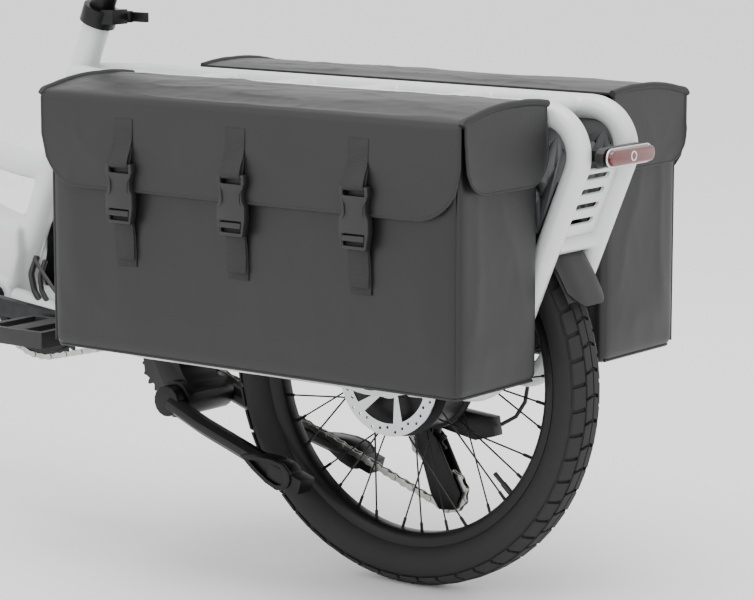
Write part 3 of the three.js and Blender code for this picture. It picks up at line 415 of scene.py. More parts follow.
def rounded_box(x0, x1, y0, y1, z0, z1, radius, segments=3):
    """A block with rounded edges."""
    middle = place((x0 + x1) / 2, (y0 + y1) / 2, (z0 + z1) / 2)
    bpy.ops.object.select_all(action="DESELECT")
    bpy.ops.mesh.primitive_cube_add(size=1, location=middle)
    piece = bpy.context.object
    piece.scale = (abs(x1 - x0) / 1000, abs(y1 - y0) / 1000, abs(z1 - z0) / 1000)
    bpy.ops.object.transform_apply(location=True, rotation=True, scale=True)
    soften(piece, radius, segments)
    return piece


# %% A CAD node with its edges broken
def refine(node, material, bevel=0.8, angle=35, segments=2):
    """A copy of a CAD node, merged and softened, that stands for the node."""
    source = frame["nodes"][node]
    copy = source.copy()
    copy.data = source.data.copy()
    bpy.context.scene.collection.objects.link(copy)
    copy.parent = None
    for key in list(copy.keys()):
        del copy[key]
    only(copy)
    bpy.ops.object.mode_set(mode="EDIT")
    bpy.ops.mesh.select_all(action="SELECT")
    bpy.ops.mesh.remove_doubles(threshold=0.00001)
    bpy.ops.mesh.dissolve_limited(angle_limit=math.radians(2))
    bpy.ops.object.mode_set(mode="OBJECT")
    if bevel:
        soften(copy, bevel, segments, angle)
    body = source["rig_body"]
    settle(copy, node + "_finished", material, body, angle)
    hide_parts(node)
    return copy


# %% [markdown]
# ## The painted frame
# On the real bicycle the tubes are welded and the beads smoothed over before painting, so the white
# parts flow into each other. The tubes are made first, each at its real diameter. Then a voxel remesh
# melts them into one skin, and a light smoothing turns every joint into a small fillet.

# %% Where the frame's tubes run
RAIL_Z = 575.5
RAIL_Y = 48
RAIL_RADIUS = 14
LEG_LEAN = 0.41
LOOP_CORNER_X = -284
CROSS_MEMBERS = (-195, -74, 61, 184, 306)
BRACKET = (638, 0, 287)
SEAT_LEAN = 0.416
HEAD_LEAN = math.radians(20)
FORK_OFFSET = 45
FORK_LENGTH = 350
CROWN_X = WHEELBASE - FORK_OFFSET * math.cos(HEAD_LEAN) - FORK_LENGTH * math.sin(HEAD_LEAN)
CROWN_Z = WHEEL_RADIUS - FORK_OFFSET * math.sin(HEAD_LEAN) + FORK_LENGTH * math.cos(HEAD_LEAN)


def leg_x(z):
    return LOOP_CORNER_X + (RAIL_Z - z) * LEG_LEAN


def on_seat_tube(z, y=0):
    return (BRACKET[0] - (z - BRACKET[2]) * SEAT_LEAN, y, z)


def on_steering(forward, up, y=0):
    """A point along and across the steering axis, measured from the fork's crown."""
    return (CROWN_X + forward * math.cos(HEAD_LEAN) - up * math.sin(HEAD_LEAN), y,
            CROWN_Z + forward * math.sin(HEAD_LEAN) + up * math.cos(HEAD_LEAN))


# %% Melting tubes together
def melt(pieces, voxel_mm, smoothing):
    """Joins solids into one skin and rounds the corners between them."""
    skin = join(pieces)
    modify(skin, "REMESH", mode="VOXEL", voxel_size=voxel_mm / 1000)
    modify(skin, "SMOOTH", factor=0.5, iterations=smoothing)
    return skin


# %% The rack loop: two rails with their legs, cross members and the slotted plate
def rack_side(side):
    line = [(*on_seat_tube(RAIL_Z)[:1], side * 12, RAIL_Z), (440, side * RAIL_Y, RAIL_Z),
            (LOOP_CORNER_X, side * RAIL_Y, RAIL_Z), (leg_x(256), side * 49, 256), (-48, side * 71,
                                                            WHEEL_RADIUS)]
    return tube(line, RAIL_RADIUS + 0.3, 45)


rack_pieces = [rack_side(1), rack_side(-1)]
for x in CROSS_MEMBERS:
    rack_pieces.append(tube([(x, -RAIL_Y, RAIL_Z + 1), (x, RAIL_Y, RAIL_Z + 1)], 11.5))
rack_pieces.append(tube([(leg_x(426), -RAIL_Y, 426), (leg_x(426), RAIL_Y, 426)], 10.5))
rack = melt(rack_pieces, 2.2, 5)
settle(rack, "rack_loop", powder_coat, "frame", 60)
print("rack loop:", len(rack.data.polygons), "faces")


# %% Slotted plate between the legs
def slot_outline(half_length, radius, z):
    """A long hole with round ends, across the plate."""
    right = circle(radius, 16, half_length - radius, z, -math.pi / 2)[:9]
    left = circle(radius, 16, radius - half_length, z, math.pi / 2)[:9]
    return right + left


slots = [slot_outline(23, 3.8, z) for z in (-28, -9, 10, 29)]
slotted = plate([(-35, -46), (35, -46), (35, 38), (-35, 38)], -1.8, 1.8, slots, 0.5)
upright = Matrix.Translation(place(0, 0, 0)) @ Matrix.Rotation(math.pi / 2, 4,
                                                            "Z") @ Matrix.Translation(-place(0, 0, 0))
lean = Matrix.Translation(place(leg_x(478), 0, 478)) @ Matrix.Rotation(-math.atan(LEG_LEAN), 4, "Y")
slotted.data.transform(lean @ Matrix.Translation(-place(0, 0, 0)) @ upright)
settle(slotted, "slotted_plate", powder_coat, "frame")
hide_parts("rack_frame")


# %% Front part of the frame: seat tube, low top tube, deep down tube, head tube and stays
def stay(side):
    line = [(BRACKET[0] - 4, side * 20, 284), (548, side * 27, 274), (470, side * 48, 262), (366, side * 72,
                                                            254),
            (40, side * 72, 254)]
    return tube(line, 13.8, 160)


def curve_points(start, control, end, steps):
    """A plain quadratic curve through the air."""
    start, control, end = Vector(start), Vector(control), Vector(end)
    ts = [i / steps for i in range(steps + 1)]
    return [start * (1 - t) ** 2 + control * 2 * t * (1 - t) + end * t * t for t in ts]


top_tube_line = curve_points(on_seat_tube(453), (760, 0, 453), on_steering(0, 88), 24)
top_edge = [(p.x, p.z) for p in curve_points((606, 0, 381), (742, 0, 381), on_steering(0, 70), 24)]
low_end = on_steering(0, 14)
down_outline = top_edge + [(low_end[0], low_end[2]), (665, 262), (640, 262), (616, 300), (606, 340)]
down_tube = plate(down_outline, -30, 30, (), 0)
soften(down_tube, 11, 4)
main_pieces = [
    tube([on_seat_tube(BRACKET[2]), on_seat_tube(652)], 17.8, resolution=8),
    tube([(BRACKET[0], -36, BRACKET[2]), (BRACKET[0], 36, BRACKET[2])], 21.5, resolution=8),
    tube(top_tube_line, 18.3, resolution=8),
    tube([on_steering(0, 0.5), on_steering(0, 149.5)], 27.3, resolution=10),
    down_tube,
]
main_frame = melt(main_pieces, 2.6, 6)
settle(main_frame, "main_frame", powder_coat, "frame", 60)
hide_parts("seat_tube", "top_tube", "head_tube", "down_tube")
print("main frame:", len(main_frame.data.polygons), "faces")

# %% Chainstays with their dropouts
for name, side in (("left", 1), ("right", -1)):
    y0, y1 = (68.3, 77.3) if side > 0 else (-77.3, -68.3)
    dropout = plate([(60, 264), (60, 242), (14, 236), (-14, 236), (-52, 244), (-52, 262)], y0, y1, (), 0)
    made = melt([stay(side), dropout], 1.8, 4)
    settle(made, name + "_stay", powder_coat, "frame", 60)
    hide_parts(name + "_chainstay")

# %% [markdown]
# ## Wheels
# A bicycle tyre is a torus with rubber blocks on it. The casing is turned in one go, and one block of
# each kind is cut as a plate, set on the tread and copied round the wheel.

# %% Tyre casing
casing_profile = [(207, -12), (213, -20), (221, -25.6), (231, -27.6), (239, -26), (245, -21), (249.2, -12),
                  (250.4, 0), (249.2, 12), (245, 21), (239, 26), (231, 27.6), (221, 25.6), (213, 20), (207,
                                                            12)]
casing = turned(casing_profile, (0, 0, WHEEL_RADIUS), 96)

# %% The brake tab and the derailleur hanger on the dropouts
brake_tab = plate([(58, 262), (92, 262), (84, 300), (64, 318), (54, 300)], 60, 64.6, bevel=1)
hanger = plate([(-18, 240), (18, 240), (26, 204), (4, 204)], -76.8, -67.8, bevel=1)
tabs = join([brake_tab, hanger])
settle(tabs, "dropout_tabs", powder_coat, "frame")

# %% Tread blocks
BLOCK_COUNT = 54


def tread_block(y0, y1, length, crown, skew):
    """One rubber block: a brick bent to the tyre's round section."""
    bpy.ops.object.select_all(action="DESELECT")
    bpy.ops.mesh.primitive_cube_add(size=1, location=(0, 0, 0))
    block = bpy.context.object
    block.scale = (length / 1000, (y1 - y0) / 1000, 3 / 1000)
    bpy.ops.object.transform_apply(location=True, rotation=True, scale=True)
    bpy.ops.object.mode_set(mode="EDIT")
    bpy.ops.mesh.select_all(action="SELECT")
    bpy.ops.mesh.subdivide(number_cuts=1)
    bpy.ops.object.mode_set(mode="OBJECT")
    middle = (y0 + y1) / 2
    for vertex in block.data.vertices:
        y = vertex.co.y * 1000 + middle
        drop = crown * (y / 22) ** 2
        x = vertex.co.x + skew * (y - middle) / 1000
        vertex.co = place(x * 1000, y, 2 * WHEEL_RADIUS - 1.5 - drop + vertex.co.z * 1000)
    return block


pattern = [tread_block(-12, -1, 25, 2.2, 0.35), tread_block(1, 12, 25, 2.2, -0.35)]
shoulder = [tread_block(13, 26, 24, 6.4, -0.2), tread_block(-26, -13, 24, 6.4, 0.2)]
step = 2 * math.pi / BLOCK_COUNT
axle = place(0, 0, WHEEL_RADIUS)


def about_axle(angle):
    return Matrix.Translation(axle) @ Matrix.Rotation(angle, 4, "Y") @ Matrix.Translation(-axle)


blocks = []
for i in range(BLOCK_COUNT):
    blocks += [duplicate(block, about_axle(i * step)) for block in pattern]
    blocks += [duplicate(block, about_axle((i + 0.5) * step)) for block in shoulder]
for block in pattern + shoulder:
    bpy.data.objects.remove(block)
rear_tyre = join([casing, *blocks])
settle(rear_tyre, "rear_tyre_tread", tyre_rubber, "rear_wheel", 50)
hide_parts("rear_tyre")
TO_FRONT = Matrix.Translation((WHEELBASE / 1000, 0, 0))


def copy_to_front(piece, name, body="front_wheel"):
    """The front wheel's own copy of a rear wheel piece."""
    copy = duplicate(piece, TO_FRONT)
    copy.parent = None
    for key in list(copy.keys()):
        del copy[key]
    copy.name = name
    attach(copy, body)
    return copy


front_tyre = copy_to_front(rear_tyre, "front_tyre_tread")
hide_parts("front_tyre")
print("tyre:", len(rear_tyre.data.polygons), "faces")

# %% Rim, spokes and nipples
rim_profile = [(192, -7), (194, -10), (200, -14), (208, -14.5), (208, -12), (202, -10), (202, 10), (208, 12),
               (208, 14.5), (200, 14), (194, 10), (192, 7)]


def spoked_rim(centre_x, flange_radius, flange_y, cross_degrees):
    """A rim with thirty-six crossed spokes, each ending in a short nipple."""
    pieces = [turned(rim_profile, (centre_x, 0, WHEEL_RADIUS), 96)]
    for i in range(36):
        side = 1 if i % 2 == 0 else -1
        lead = cross_degrees if i % 4 < 2 else -cross_degrees
        at_rim = math.radians(10 * i + 5)
        at_hub = at_rim + math.radians(lead)
        inner = Vector((flange_radius * math.cos(at_hub), side * flange_y, flange_radius * math.sin(at_hub)))
        outer = Vector((194 * math.cos(at_rim), side * 3, 194 * math.sin(at_rim)))
        shift = Vector((centre_x, 0, WHEEL_RADIUS))
        nipple = outer + (inner - outer).normalized() * 14
        pieces.append(tube([inner + shift, outer + shift], 1.1, resolution=1))
        pieces.append(tube([nipple + shift, outer + shift], 2.0, resolution=1))
    return join(pieces)


rear_rim = spoked_rim(0, 73.6, 26, 14)
settle(rear_rim, "rear_rim_and_spokes", black_anodised, "rear_wheel")
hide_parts("rear_rim")
front_rim = spoked_rim(WHEELBASE, 27, 26, 32)
hub_profile = [(6.8, -48), (11, -48), (11, -30), (29, -28), (29, -24), (14, -20), (12, 0), (14, 20), (29, 24),
               (29, 28), (22, 30), (22, 35), (11, 36), (11, 48), (6.8, 48)]
front_hub = turned(hub_profile, (WHEELBASE, 0, WHEEL_RADIUS), 48)
front_rim = join([front_rim, front_hub])
settle(front_rim, "front_rim_and_spokes", black_anodised, "front_wheel")
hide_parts("front_rim")

# %% Valve stem and cap
valve_at = [Vector((r * math.cos(math.radians(222)), 0, WHEEL_RADIUS + r * math.sin(math.radians(222))))
            for r in
            (193, 176, 168, 160)]
valve = join([tube([valve_at[0], valve_at[1]], 3.6), tube([valve_at[1], valve_at[3]], 2.8)])
settle(valve, "rear_valve", black_nylon, "rear_wheel")

# %% Hub motor
motor_profile = [(6.8, -34.5), (18, -35), (24, -35), (40, -33.5), (60, -31.5), (66, -29), (73, -28), (73,
                                                            -24), (69, -22),
                 (69, 22), (73, 24), (73, 28), (66, 29), (60, 32), (40, 33), (28, 34), (26, 35), (26,
                                                            46), (14, 46.4),
                 (14, 64), (6.8, 64)]
motor = turned(motor_profile, (0, 0, WHEEL_RADIUS), 96)
settle(motor, "hub_motor_shell", black_anodised, "rear_wheel")
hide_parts("hub_motor")

# %% [markdown]
# ## The side bags
# Each bag is a soft box of tarpaulin: it bulges a little where it is full and hangs in long shallow
# folds between its seams. A closed block is remeshed to an even grid, its skin is pushed in and out by
# a smooth fold pattern that fades at the seams, the top is opened, and then the wall gets its thickness.

# %% The bag's size and its folds
BAG_X0, BAG_X1 = -223, 368
BAG_Y0, BAG_Y1 = 66, 221
BAG_Z0, BAG_Z1 = 276, 579


def folds(p, size_mm, stretch):
    """A smooth height between -1 and 1 with ridges like creased cloth; p is in metres."""
    q = Vector((p.x * stretch[0], p.y * stretch[1], p.z * stretch[2])) * (1000 / size_mm)
    broad = noise.noise(q)
    ridge = 1 - 2 * abs(noise.noise(q * 1.9 + Vector((7.3, 1.1, 4.2))))
    return 0.65 * broad + 0.35 * ridge * ridge * ridge


def fade(distance_mm, width_mm):
    """0 at a seam, 1 away from it, with a soft shoulder."""
    t = max(0.0, min(1.0, distance_mm / width_mm))
    return t * t * (3 - 2 * t)


# %% The bag's body
def bag_body():
    body = rounded_box(BAG_X0, BAG_X1, BAG_Y0, BAG_Y1, BAG_Z0, BAG_Z1 + 20, 11, 4)
    modify(body, "REMESH", mode="VOXEL", voxel_size=0.0052)
    body.data.update()
    moves = []
    for vertex in body.data.vertices:
        x = (vertex.co.x - AXLE_X) * 1000
        y, z = vertex.co.y * 1000, vertex.co.z * 1000
        end_x = min(x - BAG_X0, BAG_X1 - x)
        end_y = min(y - BAG_Y0, BAG_Y1 - y)
        rise = z - BAG_Z0
        normal = vertex.normal
        along = fade(end_x, 45) if abs(normal.y) > 0.5 else fade(end_y, 35)
        up = fade(rise, 50)
        sheet = folds(vertex.co, 150, (1.0, 1.2, 0.55)) * 2.6 + folds(vertex.co, 62, (1.0, 1.0, 0.8)) * 0.7
        belly = 3.2 * math.sin(math.pi * min(1, max(0, rise / 300))) if normal.y > 0.5 else 1.0
        amount = (sheet + belly) * along * up
        if normal.y < -0.5:
            amount = min(amount, 0) * 0.5
        if normal.z < -0.5:
            amount = -1.5 * fade(end_x, 60) * fade(end_y, 40)
        moves.append(normal * (amount / 1000))
    for vertex, move in zip(body.data.vertices, moves):
        vertex.co += move
    only(body)
    bpy.ops.object.mode_set(mode="EDIT")
    bpy.ops.mesh.select_all(action="SELECT")
    bpy.ops.mesh.bisect(plane_co=place(0, 0, BAG_Z1 - 3), plane_no=(0, 0, 1), clear_outer=True)
    bpy.ops.object.mode_set(mode="OBJECT")
    modify(body, "SOLIDIFY", thickness=0.0022, offset=-1)
    return body


left_bag = bag_body()
right_bag = duplicate(left_bag, MIRROR)
for bag, name in ((left_bag, "left"), (right_bag, "right")):
    settle(bag, name + "_bag_shell", bag_cloth, "frame", 60)
    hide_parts(name + "_bag")
print("bag:", len(left_bag.data.polygons), "faces")


# %% Welted seams down the corners and round the bottom
def bag_welts():
    inset = 3.2
    pieces = []
    for x, y in ((BAG_X0 + inset, BAG_Y1 - inset), (BAG_X1 - inset, BAG_Y1 - inset)):
        pieces.append(tube([(x, y, BAG_Z0 + 8), (x, y, 560)], 1.7, resolution=3))
    ring = [(BAG_X0 + inset, BAG_Y0 + 8), (BAG_X0 + inset, BAG_Y1 - inset), (BAG_X1 - inset, BAG_Y1 - inset),
            (BAG_X1 - inset, BAG_Y0 + 8)]
    pieces.append(tube([(x, y, BAG_Z0 + 3.4) for x, y in ring], 1.5, 12, resolution=3))
    return join(pieces)


# %% [markdown]
# The lid is one continuous sheet: it starts at the inner edge, runs over the crowned top, rolls over
# the outer edge and hangs down as a flap whose two lower corners are cut round. A flat grid is bent to
# that shape point by point, as cloth is laid over a box.

# %% The lid's sheet
LID_X0, LID_X1 = -229, 372
TOP_INNER = (66, 589)
TOP_OUTER = (223, 582)
FLAP_Y = 227
FLAP_END_Z = 473
ROLL = 9
FLAP_ROUND = 58


def lid_section(s):
    """The lid at s millimetres along its cut, from the inner edge; returns y, z and the outward side."""
    top_length = TOP_OUTER[0] - TOP_INNER[0] - 4
    arc_length = ROLL * math.pi / 2
    if s <= top_length:
        t = s / top_length
        crown = 5.5 * math.sin(math.pi * min(1, t * 1.02))
        y = TOP_INNER[0] + s
        z = TOP_INNER[1] + (TOP_OUTER[1] - TOP_INNER[1]) * t * t + crown
        return y, z, Vector((0, 0, 1))
    if s <= top_length + arc_length:
        a = (s - top_length) / ROLL
        y = TOP_INNER[0] + top_length + ROLL * math.sin(a)
        z = TOP_OUTER[1] - ROLL + ROLL * math.cos(a)
        return y, z, Vector((0, math.sin(a), math.cos(a)))
    down = (s - top_length - arc_length)
    y = TOP_INNER[0] + top_length + ROLL
    return y, TOP_OUTER[1] - ROLL - down, Vector((0, 1, 0))


def flap_length_at(x, full):
    """The flap's length at x, shortened where its corners are cut round."""
    d = min(x - LID_X0, LID_X1 - x)
    if d >= FLAP_ROUND:
        return full
    return full - (FLAP_ROUND - math.sqrt(max(0, FLAP_ROUND ** 2 - (FLAP_ROUND - d) ** 2)))


TOP_LENGTH = TOP_OUTER[0] - TOP_INNER[0] - 4
ARC_LENGTH = ROLL * math.pi / 2
FLAP_LENGTH = TOP_OUTER[1] - ROLL - FLAP_END_Z


def lid_point(u, v):
    """A point of the lid's cloth; u runs along the bicycle, v from the inner edge to the flap's hem."""
    x = LID_X0 + (LID_X1 - LID_X0) * u
    flap = flap_length_at(x, FLAP_LENGTH)
    share = v * (TOP_LENGTH + ARC_LENGTH + FLAP_LENGTH)
    fixed = TOP_LENGTH + ARC_LENGTH
    s = share if share <= fixed else fixed + (share - fixed) / FLAP_LENGTH * flap
    y, z, out = lid_section(s)
    p = place(x, y, z)
    edge = fade(min(x - LID_X0, LID_X1 - x), 40)
    if s < TOP_LENGTH:
        lift = folds(p, 120, (0.7, 2.4, 1)) * 3.4 + folds(p, 46, (0.8, 1.6, 1)) * 0.9
        amount = lift * fade(s, 20) * (0.35 + 0.65 * edge)
    else:
        hang = max(0, s - fixed) / FLAP_LENGTH
        amount = folds(p, 110, (0.8, 1, 1.2)) * 2.2 * fade(hang, 0.5) * edge + 1.8 * hang * edge
    return p + out * (amount / 1000)


def cloth_grid(name, point, across, down):
    """A grid of cloth bent to point(u, v)."""
    bpy.ops.object.select_all(action="DESELECT")
    bpy.ops.mesh.primitive_grid_add(x_subdivisions=across, y_subdivisions=down, size=2, calc_uvs=True)
    cloth = bpy.context.object
    for vertex in cloth.data.vertices:
        vertex.co = point((vertex.co.x + 1) / 2, (vertex.co.y + 1) / 2)
    cloth.name = name
    return cloth


def hem_line(point, corners):
    """Points along the edge of a cloth, through the given (u, v) corners, in millimetres."""
    line = []
    for (u0, v0), (u1, v1) in zip(corners, corners[1:]):
        steps = 90 if abs(u1 - u0) > 0.5 else 40
        for i in range(steps):
            t = i / steps
            p = point(u0 + (u1 - u0) * t, v0 + (v1 - v0) * t)
            line.append(((p.x - AXLE_X) * 1000, p.y * 1000, p.z * 1000))
    p = point(*corners[-1])
    return line + [((p.x - AXLE_X) * 1000, p.y * 1000, p.z * 1000)]


# %% Ears: the lid's two end flaps
EAR_END_Z = 501
EAR_ROUND = 36


def ear_point(end):
    """The ear at the rear (-1) or front (+1) end of the lid, as a function of u across and v down."""
    face_x = LID_X0 - 1.5 if end < 0 else LID_X1 + 1.5

    def point(u, v):
        y = TOP_INNER[0] + 3 + (FLAP_Y - TOP_INNER[0] - 9) * u
        t = (y - TOP_INNER[0]) / (TOP_OUTER[0] - TOP_INNER[0])
        top = TOP_INNER[1] + (TOP_OUTER[1] - TOP_INNER[1]) * t * t + 5.5 * math.sin(math.pi * min(1, t)) - 1.5
        d = min(y - TOP_INNER[0] - 3, FLAP_Y - 6 - y)
        length = top - EAR_END_Z
        if d < EAR_ROUND:
            length -= EAR_ROUND - math.sqrt(max(0, EAR_ROUND ** 2 - (EAR_ROUND - max(0, d)) ** 2))
        z = top - length * v
        flare = 1.0 + 3.0 * v * v + folds(place(0, y, z), 70, (1, 1, 1)) * 1.6 * v
        return place(face_x + end * flare, y, z)
    return point


# %% Lid, ears and piping as one soft top
def finish_cloth(cloth, thickness):
    """Gives a single sheet its thickness."""
    only(cloth)
    bpy.ops.object.mode_set(mode="EDIT")
    bpy.ops.mesh.select_all(action="SELECT")
    bpy.ops.mesh.normals_make_consistent(inside=False)
    bpy.ops.object.mode_set(mode="OBJECT")
    modify(cloth, "SOLIDIFY", thickness=thickness / 1000, offset=0)


lid = cloth_grid("lid", lid_point, 150, 70)
ears = [cloth_grid("ear", ear_point(end), 36, 22) for end in (-1, 1)]
for cloth in (lid, *ears):
    finish_cloth(cloth, 2.4)
piping = [tube(hem_line(lid_point, [(0, 0), (0, 1), (1, 1), (1, 0)]), 2.1, resolution=3)]
for end in (-1, 1):
    piping.append(tube(hem_line(ear_point(end), [(0, 0), (0, 1), (1, 1), (1, 0)]), 1.9, resolution=3))
    roll_x = LID_X0 - 1.5 if end < 0 else LID_X1 + 1.5
    roll = [(roll_x + end * 0.8, y, z) for _, y, z in hem_line(lid_point, [(0, 0), (0, 0.61)])]
    piping.append(tube(roll, 4.2, resolution=4))
piping.append(bag_welts())
lid_trim = join(piping[:-1])
welts = piping[-1]

# %% Straps and side-release buckles
STRAP_XS = (244, 77, -96)


def ribbon(x, line, width, thickness):
    """A flat strap: points (y, z) down the bag's side, width along the bicycle."""
    points = []
    for i, (y, z) in enumerate(line):
        before = Vector(line[max(0, i - 1)])
        after = Vector(line[min(len(line) - 1, i + 1)])
        along = (after - before).normalized()
        across = Vector((-along.y, along.x)) * (thickness / 2)
        points.append(((y + across.x, z + across.y), (y - across.x, z - across.y)))
    mesh = bpy.data.meshes.new("ribbon")
    corners = []
    for a, b in points:
        corners += [place(x - width / 2, *a), place(x + width / 2, *a), place(x + width / 2, *b),
                    place(x - width / 2, *b)]
    faces = [(3, 2, 1, 0)]
    for i in range(len(points) - 1):
        k = 4 * i
        for j in range(4):
            faces.append((k + j, k + (j + 1) % 4, k + 4 + (j + 1) % 4, k + 4 + j))
    last = 4 * (len(points) - 1)
    faces.append((last, last + 1, last + 2, last + 3))
    mesh.from_pydata(corners, [], faces)
    piece = bpy.data.objects.new("ribbon", mesh)
    bpy.context.scene.collection.objects.link(piece)
    only(piece)
    bpy.ops.object.mode_set(mode="EDIT")
    bpy.ops.mesh.select_all(action="SELECT")
    bpy.ops.mesh.normals_make_consistent(inside=False)
    bpy.ops.object.mode_set(mode="OBJECT")
    soften(piece, 0.4, 1, 50)
    return piece


def strap_upper(x):
    face = FLAP_Y + 3.2
    line = [(face - 0.6, 556), (face, 545), (face + 0.6, 533), (face + 3, 524), (face + 7, 516), (face + 10,
                                                            508),
            (face + 10.5, 503), (face + 8, 500), (face + 5, 504), (face + 2.5, 513), (face + 0.6, 524)]
    return ribbon(x, line, 28, 1.6)


def strap_tail(x):
    back = FLAP_Y + 1
    outer = [(back + 5, 452), (back + 6, 440), (back + 2.5, 430), (back + 1, 412), (back + 1.5, 392)]
    inner = [(back + 3, 452), (back + 2, 436), (back - 1.2, 420), (back - 2.4, 400), (back - 2.2, 384)]
    return [ribbon(x, outer, 28, 1.6), ribbon(x, inner, 29, 1.6)]


def buckle(x):
    """Side-release buckle: a waisted body, a ring above and a ladder bar below."""
    y0, y1 = FLAP_Y + 3.5, FLAP_Y + 13
    outline = [(-19, 0), (19, 0), (20, -10), (17.5, -14), (16, -22), (16.5, -30), (20, -36), (20.5, -50),
               (17, -70),
               (-17, -70), (-20.5, -50), (-20, -36), (-16.5, -30), (-16, -22), (-17.5, -14), (-20, -10)]
    body_outline = [(x + dx, 505 + dz) for dx, dz in outline]
    ring = [(x - 15, 501), (x + 15, 501), (x + 15, 494), (x - 15, 494)]
    ladder = [(x - 15, 452), (x + 15, 452), (x + 14.5, 439), (x - 14.5, 439)]
    body = plate(body_outline, y0, y1, [ring, ladder], 1.6)
    grip_bar = rounded_box(x - 15, x + 15, y1 - 5, y1 + 1.2, 444, 450.5, 1.4)
    release = [tube([(x + s * 17.4, y1 - 1.5, 492), (x + s * 13.2, y1 + 0.2, 484), (x + s * 12.4, y1 + 0.2,
                                                            474),
                     (x + s * 16.8, y1 - 1.5, 466)], 1.5, 6, resolution=3) for s in (1, -1)]
    return join([body, grip_bar, *release])


straps, tails, buckles = [], [], []
for x in STRAP_XS:
    straps.append(strap_upper(x))
    tails += strap_tail(x)
    buckles.append(buckle(x))
strap_set, tail_set, buckle_set = join(straps), join(tails), join(buckles)


# %% Dress both bags
def dress(piece, part, material, body_part, angle=50):
    """One soft piece for the left bag and its mirror image for the right; returns both."""
    made = []
    mirrored = duplicate(piece, MIRROR)
    for side, item in (("left", piece), ("right", mirrored)):
        body = "frame" if body_part == "bag" else side + "_bag_lid"
        settle(item, side + "_" + part, material, body, angle)
        made.append(item)
    return made


# The lid and both ears wear the lighter copy of the tarpaulin, which carries painted light.
lids = dress(lid, "lid_cloth", lid_cloth, "lid", 60)
rear_ears = dress(ears[0], "rear_ear", lid_cloth, "lid", 60)
front_ears = dress(ears[1], "front_ear", lid_cloth, "lid", 60)
dress(lid_trim, "lid_piping", binding_tape, "lid", 60)
dress(welts, "bag_welt", bag_cloth, "bag", 60)
dress(strap_set, "strap", webbing, "lid")
dress(tail_set, "strap_tail", webbing, "lid")
dress(buckle_set, "buckles", black_nylon, "lid", 40)
for side, i in (("left", 0), ("right", 1)):
    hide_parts(side + "_bag_lid")

# %% [markdown]
# ## Guards, light and fenders
# The wheel guards are thin moulded plates with staggered rows of drilled holes. The holes are cut with
# one boolean: all the drill rods are joined into a single cutter first.

# %% Drill a plate
def drill(piece, places, radius, y0, y1):
    """Cuts round holes along y at the given (x, z) places."""
    rods = join([tube([(x, y0, z), (x, y1, z)], radius, resolution=3) for x, z in places])
    modify(piece, "BOOLEAN", operation="DIFFERENCE", object=rods, solver="EXACT")
    bpy.data.objects.remove(rods)


def guard_edge():
    """The guard's outline: under the rail, round the loop's corner, down the leg, back over the wheel."""
    outline = [(150, 560), (-200, 560), (-240, 557), (-256, 545), (-258, 530), (leg_x(500) + 17, 500),
               (leg_x(438) + 17, 438)]
    for i in range(9):
        a = math.radians(138 - i * 76 / 8)
        outline.append((278 * math.cos(a), WHEEL_RADIUS + 278 * math.sin(a)))
    return outline


for side, name in ((1, "left"), (-1, "right")):
    guard = refine(name + "_wheel_guard", grey_polypropylene, 0.5)
    rows = []
    for row in range(6):
        z = 446 + row * 18
        for i in range(12):
            x = -251 + i * 20 + (row % 2) * 10
            clear_of_wheel = math.hypot(x, z - WHEEL_RADIUS) > 288
            if clear_of_wheel and leg_x(z) + 22 < x:
                rows.append((x, z))
    drill(guard, rows, 2.1, side * 40, side * 56)
    edge = guard_edge()
    trim = tube([(x, side * RAIL_Y, z) for x, z in edge[5:]], 2.4, 6, resolution=3)
    settle(trim, name + "_guard_trim", binding_tape, "frame", 60)

# %% Tail light: black base, chrome rim, ribbed red lens with a silver ring
LIGHT = (-281, 530)
refine("tail_light_housing", black_nylon, 1.5, 30, 3)
refine("tail_light_lens", red_lens, 2.5, 25, 4)


def stadium_line(x, half, radius, steps=10):
    points = []
    for i in range(2 * steps + 2):
        end = 1 if i <= steps else -1
        a = math.pi / 2 - math.pi * i / steps if i <= steps else -math.pi / 2 - math.pi * (i - steps - 1) / steps
        points.append((x, end * half + radius * math.cos(a), LIGHT[1] + radius * math.sin(a)))
    return points


rim = tube(stadium_line(LIGHT[0] - 15.5, 36, 9.6), 1.3, closed=True, resolution=3)
eye = tube([(LIGHT[0] - 21.6, 5 * math.cos(a), LIGHT[1] + 5 * math.sin(a)) for a in
            [i * math.tau / 20 for i in range(20)]], 1.0, closed=True, resolution=3)
chrome = join([rim, eye])
settle(chrome, "tail_light_trim", chrome_plate, "frame", 60)

# %% Fenders with a rolled edge, and the rear tail flap
FLAP_FROM, FLAP_TO = 138, 157.5


def tail_flap(u, v):
    """The fender's end: a channel with rolled sides whose lower corners are cut round."""
    across = (2 * u - 1) * 33
    reach = FLAP_TO - 4.2 * max(0, abs(across) / 33 - 0.45) ** 2 / 0.3
    a = math.radians(FLAP_FROM + (reach - FLAP_FROM) * v)
    radius = 272.5 + 1.5 * v - 7 * (abs(across) / 33) ** 4
    return place(-radius * math.cos(math.pi - a), across, WHEEL_RADIUS + radius * math.sin(a))


flap = cloth_grid("tail_flap", tail_flap, 30, 16)
finish_cloth(flap, 2.2)
settle(flap, "rear_fender_tail", black_nylon, "frame", 60)
refine("rear_fender", black_nylon, 0.6)
refine("front_fender", black_nylon, 0.6)

# %% [markdown]
# ## Brakes, hubs and drivetrain
# Discs get their real slots and curved arms, the chain gets its separate links, and the sprockets get
# teeth that sit in the gaps of the chain.

